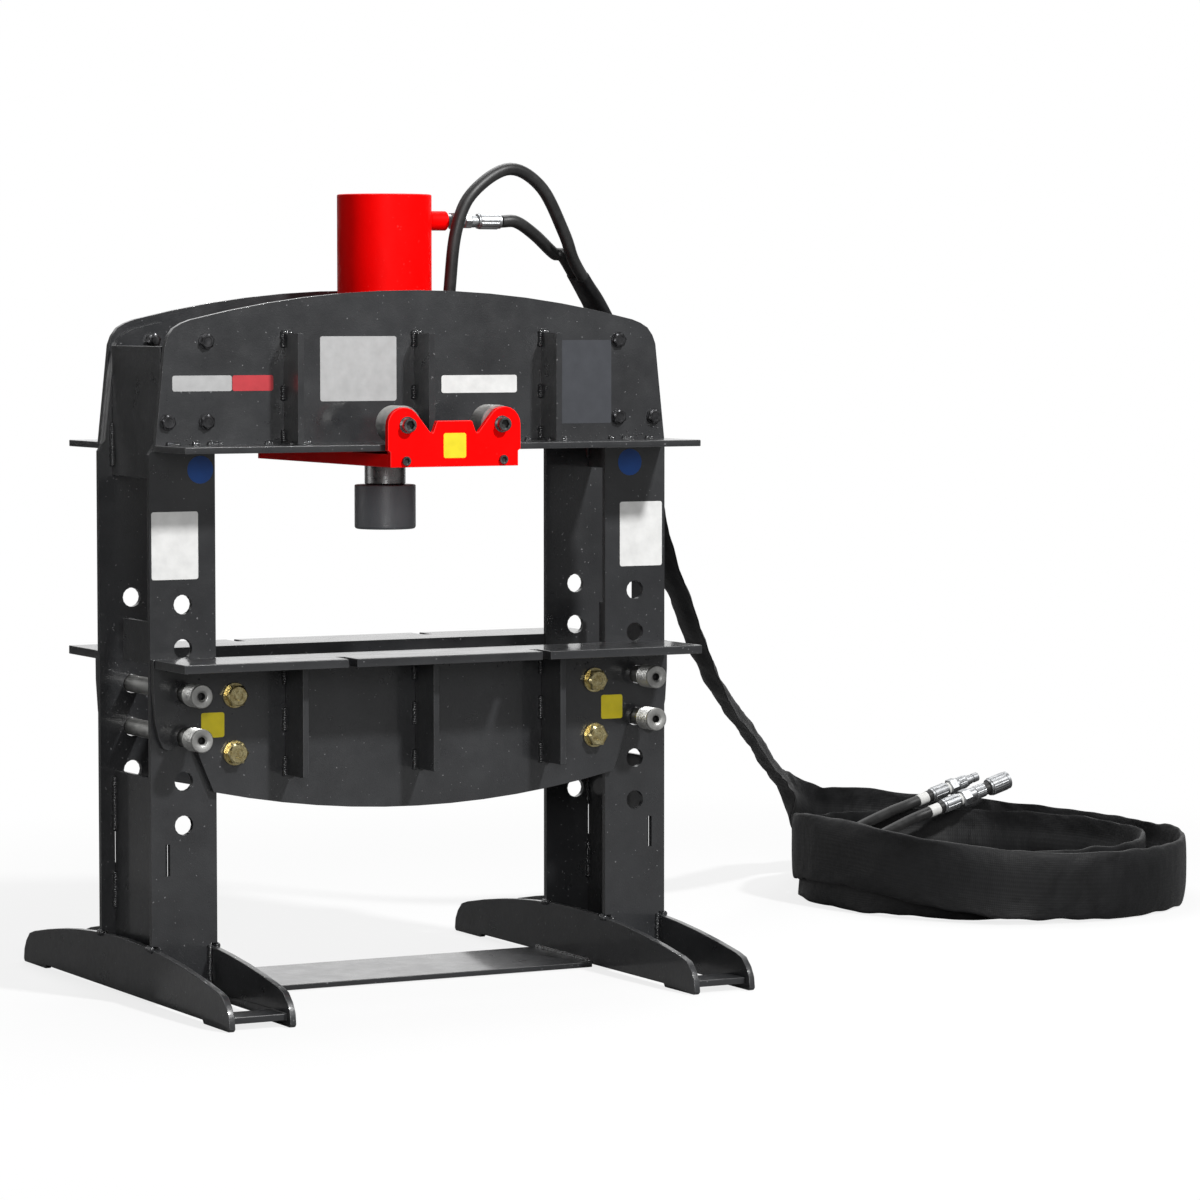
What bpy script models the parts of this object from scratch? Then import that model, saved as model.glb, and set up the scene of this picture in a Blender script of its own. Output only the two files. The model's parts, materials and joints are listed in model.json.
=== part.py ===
# Hydraulic shop press, H-frame, with a sliding double-acting cylinder. Metres, +Z up.
# X runs along the beam (right is +X), -Y is the operator's side, the floor is z = 0.
import math
import bpy
import bmesh
from mathutils import Vector
from mathutils.geometry import tessellate_polygon

GAP = 0.0003            # air left between two pieces that touch

# frame
FRAME_Y = -0.018        # the uprights stand this far in front of the feet's middle
HOLE_X = 0.368          # column of table holes, left and right
HOLE_Z = 0.575          # top table hole
HOLE_PITCH = 0.0635
HOLE_COUNT = 6
HOLE_D = 0.0285
UPRIGHT_W = 0.1016
UPRIGHT_T = 0.009
UPRIGHT_Y = 0.1004      # outer face of an upright plate, from the mid-plane
UPRIGHT_TOP = 0.972
WEB_X = 0.3935
WEB_T = 0.007
PLATE_T = 0.0095

# beam
BEAM_Z = 0.7938
BEAM_HALF = 0.4138
BEAM_CROWN = 1.0246
BEAM_FLANGE_T = 0.0095
FLANGE_Y = 0.2211       # outer edge of the flange bars
BEAM_BOLTS = ((0.334, 0.951), (0.334, 0.836), (0.394, 0.836))
RIB_X = 0.2085
RIB_T = 0.0095
BEAM_RIB_OUT = 0.050
BEAM_RIB_TOP = 0.962

# table
TABLE_Z = 0.4975
TABLE_HALF = 0.4185
TABLE_FLANGE_T = 0.0125
TABLE_RIB_OUT = 0.062
TABLE_RIB_END = 0.324
TABLE_BELLY = 0.268
SLOT_X = 0.156
SLOT_W = 0.013
SLOT_DEEP = 0.045
TIE_BOLT_X = 0.293
TIE_BOLT_Z = (0.4427, 0.3597)
TIE_BOLT_D = 0.019
SPACER_D = 0.034

# pins
PIN_D = 0.0254
GRIP_D = 0.034
PIN_FACE = 0.1690       # front face of a pin, from the mid-plane
PIN_TAIL = 0.1300

# feet
FOOT_LEN = 0.395
FOOT_T = 0.0095
FOOT_CROWN = 0.084
TIE_BAR_Y = (-0.078, 0.113)
TIE_BAR_T = 0.008

# cylinder and carriage
CARRIAGE_HALF = 0.1065
CARRIAGE_Y = 0.2345     # outer face of a carriage plate, from the mid-plane
BASE_Z = (0.7705, 0.7895)
ROLLER_X = 0.076
ROLLER_R = 0.0275
ROLLER_Y = (0.186, 0.2235)
AXLE_R = 0.008
BARREL_R = 0.070
BARREL_TOP = 1.166
BORE_R = 0.0535
ROD_R = 0.0305
ROD_END = 0.7372
NOSE_R = 0.0455
NOSE_Z = (0.6715, 0.7369)
PORT_Z = 1.128
LOW_PORT_Z = 0.866

# hoses
HOSE_D = 0.0186
SLEEVE_W = 0.114
HANG_W = 0.080            # where it hangs, gathered round its hoses
SLEEVE_T = 0.024


def makeMaterial(name, rgb, metallic, rough):
    mat = bpy.data.materials.new(name)
    mat.use_nodes = True
    bsdf = mat.node_tree.nodes["Principled BSDF"]
    bsdf.inputs["Base Color"].default_value = (*rgb, 1.0)
    bsdf.inputs["Metallic"].default_value = metallic
    bsdf.inputs["Roughness"].default_value = rough
    return mat


def emit(name, verts, faces, mat, origin=(0, 0, 0), dy=FRAME_Y, smooth=False):
    """One object from corners and faces, its origin on its own axis."""
    ox, oy, oz = origin
    bm = bmesh.new()
    corners = [bm.verts.new((x - ox, y - oy, z - oz)) for x, y, z in verts]
    for f in faces:
        bm.faces.new([corners[i] for i in f])
    bmesh.ops.remove_doubles(bm, verts=bm.verts, dist=1e-6)
    bmesh.ops.triangulate(bm, faces=bm.faces)
    bmesh.ops.recalc_face_normals(bm, faces=bm.faces)
    mesh = bpy.data.meshes.new(name)
    bm.to_mesh(mesh)
    bm.free()
    if smooth:
        mesh.shade_smooth()
        mesh.set_sharp_from_angle(angle=math.radians(35))
    mesh.materials.append(mat)
    obj = bpy.data.objects.new(name, mesh)
    obj.location = (ox, oy + dy, oz)
    bpy.context.scene.collection.objects.link(obj)
    return obj


def plate(name, loops, axis, lo, hi, mat, dy=FRAME_Y):
    """A flat plate: an outline with holes, given square to the axis, from lo to hi along it."""
    def place(a, b, c):
        return {"X": (c, a, b), "Y": (a, c, b), "Z": (a, b, c)}[axis]
    flat = [p for loop in loops for p in loop]
    tris = tessellate_polygon([[Vector((a, b, 0.0)) for a, b in loop] for loop in loops])
    n = len(flat)
    verts = [place(a, b, lo) for a, b in flat] + [place(a, b, hi) for a, b in flat]
    faces = [tuple(t) for t in tris] + [tuple(i + n for i in t) for t in tris]
    start = 0
    for loop in loops:
        m = len(loop)
        for i in range(m):
            a, b = start + i, start + (i + 1) % m
            faces.append((a, b, b + n, a + n))
        start += m
    return emit(name, verts, faces, mat, dy=dy)


def box(name, xs, ys, zs, mat):
    """A plain bar between two values along each axis, in any order."""
    (y0, y1), (z0, z1) = sorted(ys), sorted(zs)
    return plate(name, [[(y0, z0), (y1, z0), (y1, z1), (y0, z1)]], "X", min(xs), max(xs), mat)


def loft(name, rings, mat, ring=False, origin=(0, 0, 0), dy=FRAME_Y, smooth=True):
    """A solid through rings of equal count; capped at both ends, or closed on itself."""
    m = len(rings[0])
    verts = [p for r in rings for p in r]
    faces = []
    last = len(rings) if ring else len(rings) - 1
    for k in range(last):
        a, b = k * m, ((k + 1) % len(rings)) * m
        for i in range(m):
            j = (i + 1) % m
            faces.append((a + i, a + j, b + j, b + i))
    if not ring:
        tail = (len(rings) - 1) * m
        faces.append(tuple(tail + i for i in range(m)))
        faces.append(tuple(range(m)))
    return emit(name, verts, faces, mat, origin, dy, smooth)


def basis(axis):
    w = Vector(axis).normalized()
    u = Vector((0, 0, 1)) if abs(w.z) < 0.9 else Vector((1, 0, 0))
    u = (u - w * u.dot(w)).normalized()
    return w, w.cross(u), u


def roundRing(centre, axis, radius, seg, hexagon=False):
    w, u, v = basis(axis)
    out = []
    for i in range(seg):
        t = 2 * math.pi * i / seg
        r = radius / math.cos((t + math.pi / 6) % (math.pi / 3) - math.pi / 6) if hexagon else radius
        p = Vector(centre) + u * (r * math.cos(t)) + v * (r * math.sin(t))
        out.append(tuple(p))
    return out


def turned(name, origin, axis, profile, mat, seg=12, ring=False, dy=FRAME_Y):
    """profile: (distance along the axis, radius) or (distance, half across-flats, True) for a hexagon."""
    w = Vector(axis).normalized()
    rings = []
    for step in profile:
        hexagon = len(step) > 2
        rings.append(roundRing(Vector(origin) + w * step[0], axis, step[1], seg, hexagon))
    return loft(name, rings, mat, ring, origin, dy)


def weld(body, pieces):
    """Pieces welded on for good: one solid with the body."""
    for piece in pieces:
        mod = body.modifiers.new("weld", "BOOLEAN")
        mod.operation = "UNION"
        mod.solver = "EXACT"
        mod.object = piece
    graph = bpy.context.evaluated_depsgraph_get()
    graph.update()
    mesh = bpy.data.meshes.new_from_object(body.evaluated_get(graph))
    body.modifiers.clear()
    body.data = mesh
    for piece in pieces:
        bpy.data.objects.remove(piece, do_unlink=True)
    return body


def circle(cx, cz, r, seg=20, start=0.0):
    return [(cx + r * math.cos(start + 2 * math.pi * i / seg),
             cz + r * math.sin(start + 2 * math.pi * i / seg)) for i in range(seg)]


def arcPoints(cx, cz, r, a0, a1, n):
    return [(cx + r * math.cos(math.radians(a0 + (a1 - a0) * i / n)),
             cz + r * math.sin(math.radians(a0 + (a1 - a0) * i / n))) for i in range(n + 1)]


def mirrored(loop, s):
    return [(s * a, b) for a, b in (loop if s > 0 else reversed(loop))]


def uprightParts(mat):
    inner, outer = HOLE_X - UPRIGHT_W / 2, HOLE_X + UPRIGHT_W / 2
    shoulder = FOOT_CROWN + 0.0012
    neck = FOOT_T + GAP
    for side, s in (("left", -1), ("right", 1)):
        outline = [(inner + neck, 0.010), (outer - neck, 0.010), (outer - neck, shoulder), (outer, shoulder),
                   (outer, 0.790), (0.4085, 0.806), (0.393, 0.940), (0.383, 0.957), (0.362, 0.968),
                   (0.345, UPRIGHT_TOP), (inner, UPRIGHT_TOP + 0.006), (inner, shoulder), (inner + neck, shoulder)]
        holes = [circle(HOLE_X, HOLE_Z - k * HOLE_PITCH, HOLE_D / 2, 14) for k in range(HOLE_COUNT)]
        slot = [(WEB_X - 0.0035, 0.185), (WEB_X + 0.0035, 0.185), (WEB_X + 0.0035, 0.231),
                (WEB_X - 0.0035, 0.231)]
        loops = [mirrored(l, s) for l in [outline] + holes + [slot]]
        for face, f in (("front", -1), ("rear", 1)):
            lo, hi = sorted((f * UPRIGHT_Y, f * (UPRIGHT_Y - UPRIGHT_T)))
            plate("upright_%s_%s" % (side, face), loops, "Y", lo, hi, mat)
        deep = UPRIGHT_Y - UPRIGHT_T - GAP
        x0, x1 = sorted((s * (WEB_X - WEB_T / 2), s * (WEB_X + WEB_T / 2)))
        upper = [(-deep, 0.486), (0.056, 0.486), (0.056, 0.548), (-0.048, 0.548), (-0.048, 0.754),
                 (deep, 0.754), (deep, 0.9440), (-deep, 0.9440)]
        plate("web_%s_upper" % side, [upper], "X", x0, x1, mat)
        lower = [(-deep, 0.012), (deep, 0.012), (deep, 0.322), (-deep, 0.322)]
        plate("web_%s_lower" % side, [lower], "X", x0, x1, mat)


def beamParts(mat):
    def crown(x):
        return BEAM_CROWN - 0.335 * x * x
    steps = [0.358 * (1 - i / 6) for i in range(7)]
    half = [(BEAM_HALF, BEAM_Z), (0.3975, 0.945), (0.3925, 0.958), (0.3840, 0.9695), (0.3720, 0.9765)]
    half += [(x, crown(x)) for x in steps]
    outline = half + [(-x, z) for x, z in reversed(half[:-1])]
    bolts = [circle(s * x, z, 0.0065, 12) for s in (-1, 1) for x, z in BEAM_BOLTS]
    face = UPRIGHT_Y + GAP
    for name, f in (("front", -1), ("rear", 1)):
        lo, hi = sorted((f * face, f * (face + PLATE_T)))
        body = plate("beam_plate_%s" % name, [outline] + bolts, "Y", lo, hi, mat)
        ribs = []
        for s in (-1, 0, 1):
            across = (s * RIB_X - RIB_T / 2, s * RIB_X + RIB_T / 2)
            out = (f * (face + PLATE_T - 0.002), f * (face + PLATE_T + BEAM_RIB_OUT))
            ribs.append(box("rib%d" % s, across, out, (BEAM_Z + BEAM_FLANGE_T + GAP, BEAM_RIB_TOP), mat))
        weld(body, ribs)
        box("beam_flange_%s" % name, (-BEAM_HALF, BEAM_HALF), (f * (face + PLATE_T + GAP), f * FLANGE_Y),
            (BEAM_Z, BEAM_Z + BEAM_FLANGE_T), mat)


def ribbedBar(name, f, bar, root, out, barFace, ribEnd, half, slots, mat):
    """A flange bar with its three ribs, as one piece; slots are cut in the outer edge."""
    edges = sorted({-half, half} | {s * RIB_X + e * RIB_T / 2 for s in (-1, 0, 1) for e in (-1, 1)}
                   | {c + e * SLOT_W / 2 for c in slots for e in (-1, 1)})
    ribs = [(s * RIB_X - RIB_T / 2, s * RIB_X + RIB_T / 2) for s in (-1, 0, 1)]
    tip = max(p[0] for p in bar)
    zs = sorted({p[1] for p in bar})
    ys = [root, out, tip - SLOT_DEEP, tip]
    other = zs[0] if abs(barFace - zs[1]) < 1e-9 else zs[1]
    cells = set()
    for i in range(len(edges) - 1):
        mid = (edges[i] + edges[i + 1]) / 2
        slotted = any(abs(mid - c) < SLOT_W / 2 for c in slots)
        for j in range(3):
            if not (slotted and j == 2):
                cells.add((i, j, 0))
        if any(a < mid < b for a, b in ribs):
            cells.add((i, 0, 1))
    levels = [other, barFace, ribEnd]
    quads = {}
    verts, index = [], {}

    def vid(i, j, k):
        if (i, j, k) not in index:
            index[(i, j, k)] = len(verts)
            verts.append((edges[i], f * ys[j], levels[k]))
        return index[(i, j, k)]
    for (i, j, k) in cells:
        c = [(i + a, j + b, k + d) for d in (0, 1) for b in (0, 1) for a in (0, 1)]
        sides = {(-1, 0, 0): (0, 2, 6, 4), (1, 0, 0): (1, 5, 7, 3), (0, -1, 0): (0, 4, 5, 1),
                 (0, 1, 0): (2, 3, 7, 6), (0, 0, -1): (0, 1, 3, 2), (0, 0, 1): (4, 6, 7, 5)}
        for (a, b, d), idx in sides.items():
            if (i + a, j + b, k + d) not in cells:
                quads[(i, j, k, a, b, d)] = tuple(vid(*c[n]) for n in idx)
    emit(name, verts, list(quads.values()), mat)


def tableParts(mat):
    r = HOLE_D / 2
    low = HOLE_Z - 3 * HOLE_PITCH
    notch = arcPoints(HOLE_X, low, r, -40, 205, 14)
    belly = [0.3255 * (1 - i / 6) for i in range(7)]
    half = [(TABLE_HALF, TABLE_Z), (0.4183, 0.455), (0.4153, 0.408), (0.4105, 0.385), (0.4035, 0.3705),
            (0.3960, 0.3665), (0.3905, 0.3680)]
    half += notch
    half += [(0.3478, 0.3560)]
    half += [(x, TABLE_BELLY + 0.34 * x * x) for x in belly]
    outline = half + [(-x, z) for x, z in reversed(half[:-1])]
    holes = [circle(s * HOLE_X, low + HOLE_PITCH, r, 14) for s in (-1, 1)]
    holes += [circle(s * TIE_BOLT_X, z, TIE_BOLT_D / 2 + 0.0005, 12) for s in (-1, 1) for z in TIE_BOLT_Z]
    face = UPRIGHT_Y + GAP
    for name, f in (("front", -1), ("rear", 1)):
        lo, hi = sorted((f * face, f * (face + PLATE_T)))
        plate("table_plate_%s" % name, [outline] + holes, "Y", lo, hi, mat)
        root = face + PLATE_T + GAP
        bar = [(root, TABLE_Z - TABLE_FLANGE_T), (FLANGE_Y, TABLE_Z)]
        ribbedBar("table_flange_%s" % name, f, bar, root, root + TABLE_RIB_OUT, TABLE_Z - TABLE_FLANGE_T,
                  TABLE_RIB_END, TABLE_HALF - 0.002, [-SLOT_X, SLOT_X], mat)


def tableBolts(zinc, paint):
    out = UPRIGHT_Y + GAP + PLATE_T + GAP
    inner = UPRIGHT_Y
    tags = ("upper", "lower")
    for side, s in (("left", -1), ("right", 1)):
        for tag, z in zip(tags, TIE_BOLT_Z):
            at = (s * TIE_BOLT_X, 0, z)
            r = TIE_BOLT_D / 2
            profile = [(-out - 0.0155, 0.0125, True), (-out - 0.0140, 0.0143, True),
                       (-out - 0.0030, 0.0143, True), (-out - 0.0029, 0.0165), (-out, 0.0165), (-out + 0.0001, r), (out - 0.0001, r),
                       (out, 0.0165), (out + 0.0029, 0.0165), (out + 0.0030, 0.0143, True),
                       (out + 0.0180, 0.0143, True), (out + 0.0190, 0.0128, True), (out + 0.0191, r - 0.001),
                       (out + 0.0245, r - 0.001)]
            turned("table_bolt_%s_%s" % (side, tag), at, (0, 1, 0), profile, zinc)
            tube = [(-inner, r + 0.0008), (-inner, SPACER_D / 2), (inner, SPACER_D / 2), (inner, r + 0.0008)]
            turned("table_spacer_%s_%s" % (side, tag), at, (0, 1, 0), tube, paint, ring=True)


def pinParts(steel):
    for side, s in (("left", -1), ("right", 1)):
        for tag, k in (("upper", 2), ("lower", 3)):
            at = (s * HOLE_X, 0, HOLE_Z - k * HOLE_PITCH)
            g, r = GRIP_D / 2, PIN_D / 2
            f = PIN_FACE
            profile = [(-f + 0.010, 0.0062), (-f, 0.0076), (-f, g - 0.0015), (-f + 0.0015, g),
                       (-f + 0.036, g), (-f + 0.0375, g - 0.0015), (-f + 0.0376, r), (PIN_TAIL - 0.003, r),
                       (PIN_TAIL, r - 0.003)]
            turned("pin_%s_%s" % (side, tag), at, (0, 1, 0), profile, steel, seg=16)


def feetParts(mat):
    inner, outer = HOLE_X - UPRIGHT_W / 2, HOLE_X + UPRIGHT_W / 2
    arc = [0.350 * (1 - i / 6) for i in range(7)]
    half = [(0.300, 0.005), (0.304, 0.0), (FOOT_LEN - 0.004, 0.0), (FOOT_LEN, 0.004), (0.3925, 0.020),
            (0.3840, 0.034), (0.3700, 0.0465)]
    half += [(y, FOOT_CROWN - 0.262 * y * y) for y in arc]
    outline = half + [(-y, z) for y, z in reversed(half[:-1])]
    for side, s in (("left", -1), ("right", 1)):
        made = {}
        for tag, x in (("outer", outer - FOOT_T), ("inner", inner)):
            lo, hi = sorted((s * x, s * (x + FOOT_T)))
            made[tag] = plate("foot_%s_%s" % (side, tag), [outline], "X", lo, hi, mat, dy=0.0)
        x0, x1 = sorted((s * (inner + FOOT_T - 0.001), s * (outer - FOOT_T - GAP)))
        toes = []
        for tag, f in (("front", -1), ("rear", 1)):
            y0, y1 = sorted((f * 0.3820, f * 0.3320))
            bar = [(x0, y0), (x1, y0), (x1, y1), (x0, y1)]
            toes.append(plate("toe_" + tag, [bar], "Z", 0.009, 0.0185, mat, dy=0.0))
        weld(made["inner"], toes)
    end = inner - GAP
    bar = [(-end, TIE_BAR_Y[0]), (end, TIE_BAR_Y[0]), (end, TIE_BAR_Y[1]), (-end, TIE_BAR_Y[1])]
    plate("floor_tie_bar", [bar], "Z", 0.0008, 0.0008 + TIE_BAR_T, mat, dy=0.0)


def carriageParts(red, steel):
    half = [(CARRIAGE_HALF - 0.004, BASE_Z[0]), (CARRIAGE_HALF - 0.004, 0.7925), (CARRIAGE_HALF, 0.7950)]
    half += arcPoints(0.0805, 0.8305, 0.026, 0, 135, 8)
    half += [(0.0385, 0.8200), (0.0360, 0.8190), (0.0340, 0.8205), (0.0285, 0.8355), (0.0270, 0.8367)]
    outline = half + [(-x, z) for x, z in reversed(half)]
    y0, y1 = CARRIAGE_Y - PLATE_T, CARRIAGE_Y
    stub = ROLLER_Y[0] - 0.004
    for name, f in (("front", -1), ("rear", 1)):
        holes = [circle(s * ROLLER_X, 0.8312, AXLE_R, 12) for s in (-1, 1)]
        lo, hi = sorted((f * y0, f * y1))
        plate("carriage_plate_%s" % name, [outline] + holes, "Y", lo, hi, red)
        for side, s in (("left", -1), ("right", 1)):
            at = (s * ROLLER_X, 0, 0.8312)
            tube = [(f * ROLLER_Y[0], AXLE_R + 0.0002), (f * ROLLER_Y[0], ROLLER_R - 0.001),
                    (f * (ROLLER_Y[0] + 0.001), ROLLER_R), (f * (ROLLER_Y[1] - 0.001), ROLLER_R),
                    (f * ROLLER_Y[1], ROLLER_R - 0.001), (f * ROLLER_Y[1], AXLE_R + 0.0002)]
            turned("roller_%s_%s" % (name, side), at, (0, 1, 0), tube, steel, seg=20, ring=True)
            axle = [(f * stub, AXLE_R + 0.004), (f * (ROLLER_Y[0] - GAP), AXLE_R + 0.004),
                    (f * (ROLLER_Y[0] - GAP), AXLE_R - 0.0003), (f * (y1 + GAP), AXLE_R - 0.0003),
                    (f * (y1 + GAP), 0.0125), (f * (y1 + 0.0110), 0.0125), (f * (y1 + 0.0122), 0.0113),
                    (f * (y1 + 0.0122), 0.0062), (f * (y1 + 0.0050), 0.0055)]
            turned("roller_bolt_%s_%s" % (name, side), at, (0, 1, 0), axle, steel, seg=12)
    deep = y0 - GAP
    x = CARRIAGE_HALF - 0.0045
    base = [(-x, -deep), (x, -deep), (x, deep), (-x, deep)]
    hole = circle(0, 0, BORE_R - 0.0045, 24)
    plate("carriage_base", [base, hole], "Z", BASE_Z[0], BASE_Z[1], red)


def cylinderParts(red, steel, dark):
    low = BASE_Z[1] + GAP
    barrel = [(BARREL_TOP, BARREL_R - 0.0015), (BARREL_TOP - 0.0015, BARREL_R), (low, BARREL_R), (low, BORE_R),
              (BARREL_TOP - 0.022, BORE_R)]
    tubeBody = turned("cylinder_barrel", (0, 0, 0), (0, 0, 1), barrel, red, seg=40)
    bosses = []
    for z, end in ((PORT_Z, 0.1010), (LOW_PORT_Z, 0.0830)):
        rings = [xRing(BARREL_R - 0.006, 0.0145, z), xRing(end - 0.0025, 0.0145, z), xRing(end, 0.0120, z)]
        bosses.append(loft("boss", rings, red))
    weld(tubeBody, bosses)
    g = BORE_R - 0.0048
    gland = [(BASE_Z[0] - 0.0035, ROD_R + 0.0006), (BASE_Z[0] - 0.0035, g - 0.002), (BASE_Z[0] - 0.0015, g),
             (low + 0.030, g), (low + 0.030, ROD_R + 0.0006)]
    turned("cylinder_gland", (0, 0, 0), (0, 0, 1), gland, dark, seg=24, ring=True)
    ram = [(ROD_END, ROD_R - 0.002), (ROD_END + 0.003, ROD_R), (1.085, ROD_R), (1.085, BORE_R - 0.0003),
           (1.130, BORE_R - 0.0003)]
    turned("ram_rod", (0, 0, 0), (0, 0, 1), ram, steel, seg=24)
    nose = [(NOSE_Z[0], NOSE_R - 0.003), (NOSE_Z[0] + 0.003, NOSE_R), (NOSE_Z[1] - 0.001, NOSE_R),
            (NOSE_Z[1], NOSE_R - 0.001)]
    turned("ram_nose", (0, 0, 0), (0, 0, 1), nose, dark, seg=24)


def xRing(x, r, z, n=12, hexagon=False):
    out = []
    for i in range(n):
        t = 2 * math.pi * i / n
        q = r / math.cos((t + math.pi / 6) % (math.pi / 3) - math.pi / 6) if hexagon else r
        out.append((x, q * math.cos(t), z + q * math.sin(t)))
    return out


def portParts(silver):
    z = PORT_Z
    rings = [xRing(0.1010 + GAP, 0.0110, z), xRing(0.1100, 0.0110, z), xRing(0.1101, 0.0120, z, hexagon=True),
             xRing(0.1290, 0.0120, z, hexagon=True), xRing(0.1291, 0.0108, z), xRing(0.1510, 0.0108, z),
             xRing(0.1525, 0.0095, z), xRing(0.1540, 0.0122, z), xRing(0.1895, 0.0122, z),
             xRing(0.1914, 0.0108, z)]
    loft("port_fitting_upper", rings, silver)
    z = LOW_PORT_Z
    path = [(0.0833, 0, z), (0.0900, 0, z), (0.0960, 0, z + 0.0015), (0.1000, 0, z + 0.0060),
            (0.1012, 0, z + 0.0120), (0.1012, 0, z + 0.0300), (0.1012, 0, z + 0.0550)]
    radii = (0.0105, 0.0118, 0.0118, 0.0118, 0.0112, 0.0122, 0.0122)
    tangents = ((1, 0, 0), (1, 0, 0), (0.83, 0, 0.56), (0.40, 0, 0.92), (0, 0, 1), (0, 0, 1), (0, 0, 1))
    rings = []
    for p, r, w in zip(path, radii, tangents):
        w = Vector(w).normalized()
        v = Vector((0, 1, 0))
        u = v.cross(w)
        turns = [2 * math.pi * i / 12 for i in range(12)]
        rings.append([tuple(Vector(p) + v * (r * math.cos(t)) + u * (r * math.sin(t))) for t in turns])
    loft("port_fitting_lower", rings, silver)


def smooth(points, per=8):
    """A Catmull-Rom curve through the points."""
    pts = [Vector(p) for p in points]
    pts = [pts[0] * 2 - pts[1]] + pts + [pts[-1] * 2 - pts[-2]]
    out = []
    for i in range(1, len(pts) - 2):
        a, b, c, d = pts[i - 1:i + 3]
        for k in range(per):
            t = k / per
            out.append(0.5 * ((2 * b) + (c - a) * t + (2 * a - 5 * b + 4 * c - d) * t * t
                              + (3 * b - a - 3 * c + d) * t ** 3))
    out.append(pts[-2])
    return out


def evenly(points, count):
    total = [0.0]
    for a, b in zip(points, points[1:]):
        total.append(total[-1] + (b - a).length)
    out, j = [], 0
    for k in range(count):
        s = total[-1] * k / (count - 1)
        while j < len(points) - 2 and total[j + 1] < s:
            j += 1
        t = (s - total[j]) / max(total[j + 1] - total[j], 1e-9)
        out.append(points[j].lerp(points[j + 1], min(max(t, 0.0), 1.0)))
    return out


def hose(name, route, mat):
    """A round hose: a bevelled curve with a point every two diameters or so."""
    fine = smooth(route)
    length = sum((b - a).length for a, b in zip(fine, fine[1:]))
    points = evenly(fine, max(5, round(length / (2.2 * HOSE_D)) + 1))
    curve = bpy.data.curves.new(name, "CURVE")
    curve.dimensions = "3D"
    curve.bevel_depth = HOSE_D / 2
    curve.bevel_resolution = 2
    curve.use_fill_caps = True
    curve.render_resolution_u = 0
    spline = curve.splines.new("POLY")
    spline.points.add(len(points) - 1)
    for place, p in zip(spline.points, points):
        place.co = (p.x, p.y, p.z, 1.0)
    curve.materials.append(mat)
    obj = bpy.data.objects.new(name, curve)
    bpy.context.scene.collection.objects.link(obj)
    return obj


def flatTube(name, points, wide, endFace, mat, seg=12):
    """A flattened tube along the points; wide gives the way its width lies, endFace squares off its end."""
    rings = []
    for i, p in enumerate(points):
        a, b = points[max(i - 1, 0)], points[min(i + 1, len(points) - 1)]
        along = endFace if i == len(points) - 1 else (b - a).normalized()
        v = (wide[i] - along * wide[i].dot(along)).normalized()
        u = v.cross(along)
        half = SLEEVE_T / 2
        span = wide[i].length / 2 - half
        ring = []
        for k in range(seg):
            t = 2 * math.pi * (k + 0.5) / seg
            shift = math.copysign(span, math.cos(t))
            ring.append(tuple(p + v * (shift + half * math.cos(t)) + u * (half * math.sin(t))))
        rings.append(ring)
    return loft(name, rings, mat, dy=0.0)


# The protective sleeve leaves the hoses above the beam's right end, hangs to the floor and coils there.
DRAPE = [(0.3420, 0.016, 1.0480), (0.3560, 0.024, 1.0330), (0.3920, 0.048, 0.9960), (0.4430, 0.080, 0.9060),
         (0.4850, 0.092, 0.8090), (0.5110, 0.100, 0.7000), (0.5490, 0.116, 0.6040), (0.6040, 0.152, 0.5180),
         (0.6810, 0.222, 0.4280), (0.7570, 0.290, 0.3610), (0.8520, 0.380, 0.2990), (0.9580, 0.495, 0.2310),
         (1.0410, 0.592, 0.1890), (1.1150, 0.686, 0.1480), (1.1570, 0.728, 0.1250)]
HOSE_A = [(0.1937, -0.018, 1.1280), (0.2200, -0.0165, 1.1275), (0.2560, -0.006, 1.1090),
          (0.3000, 0.014, 1.0810)]
HOSE_B = [(0.1012, -0.018, 0.9235), (0.1008, -0.022, 0.960), (0.0990, -0.036, 1.030), (0.1050, -0.045, 1.112),
          (0.1310, -0.045, 1.168), (0.1970, -0.036, 1.206), (0.2560, -0.028, 1.180), (0.2990, -0.020, 1.112)]
TAILS = {
    "a": [(1.0200, 0.3830, 0.0640), (1.0420, 0.4480, 0.0660), (1.0920, 0.5340, 0.0720), (1.1400, 0.5870, 0.0780),
          (1.1980, 0.6280, 0.0860), (1.2540, 0.6540, 0.0990), (1.3120, 0.6690, 0.1140), (1.3730, 0.6810, 0.1280)],
    "b": [(1.0450, 0.3760, 0.0360), (1.0690, 0.4320, 0.0380), (1.1200, 0.5080, 0.0440), (1.1730, 0.5620, 0.0570),
          (1.2380, 0.5990, 0.0780), (1.2990, 0.6170, 0.0960), (1.3630, 0.6260, 0.1140)],
}
COIL_CENTRE = (1.304, 0.376)
COIL_HALF = (0.337, 0.397)
COIL_TWIST = math.radians(-9)
COIL_START = math.radians(118)
COIL_OUT = 1.02         # the first turn, as a share of COIL_HALF
COIL_PITCH = 0.092      # how much of COIL_HALF each turn loses
COIL_TURNS = 1.86
COIL_FLOOR = 0.0015


def coilLift(turn):
    """How far the sleeve stands off the floor: where it comes down, and where it crosses its own end."""
    return 0.045 * max(0.0, 1 - turn / 0.25) ** 1.5 + 0.042 * math.exp(-((turn - 0.79) / 0.13) ** 2)


def easing(low, high, value):
    t = min(max((value - low) / (high - low), 0.0), 1.0)
    return t * t * (3 - 2 * t)


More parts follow.
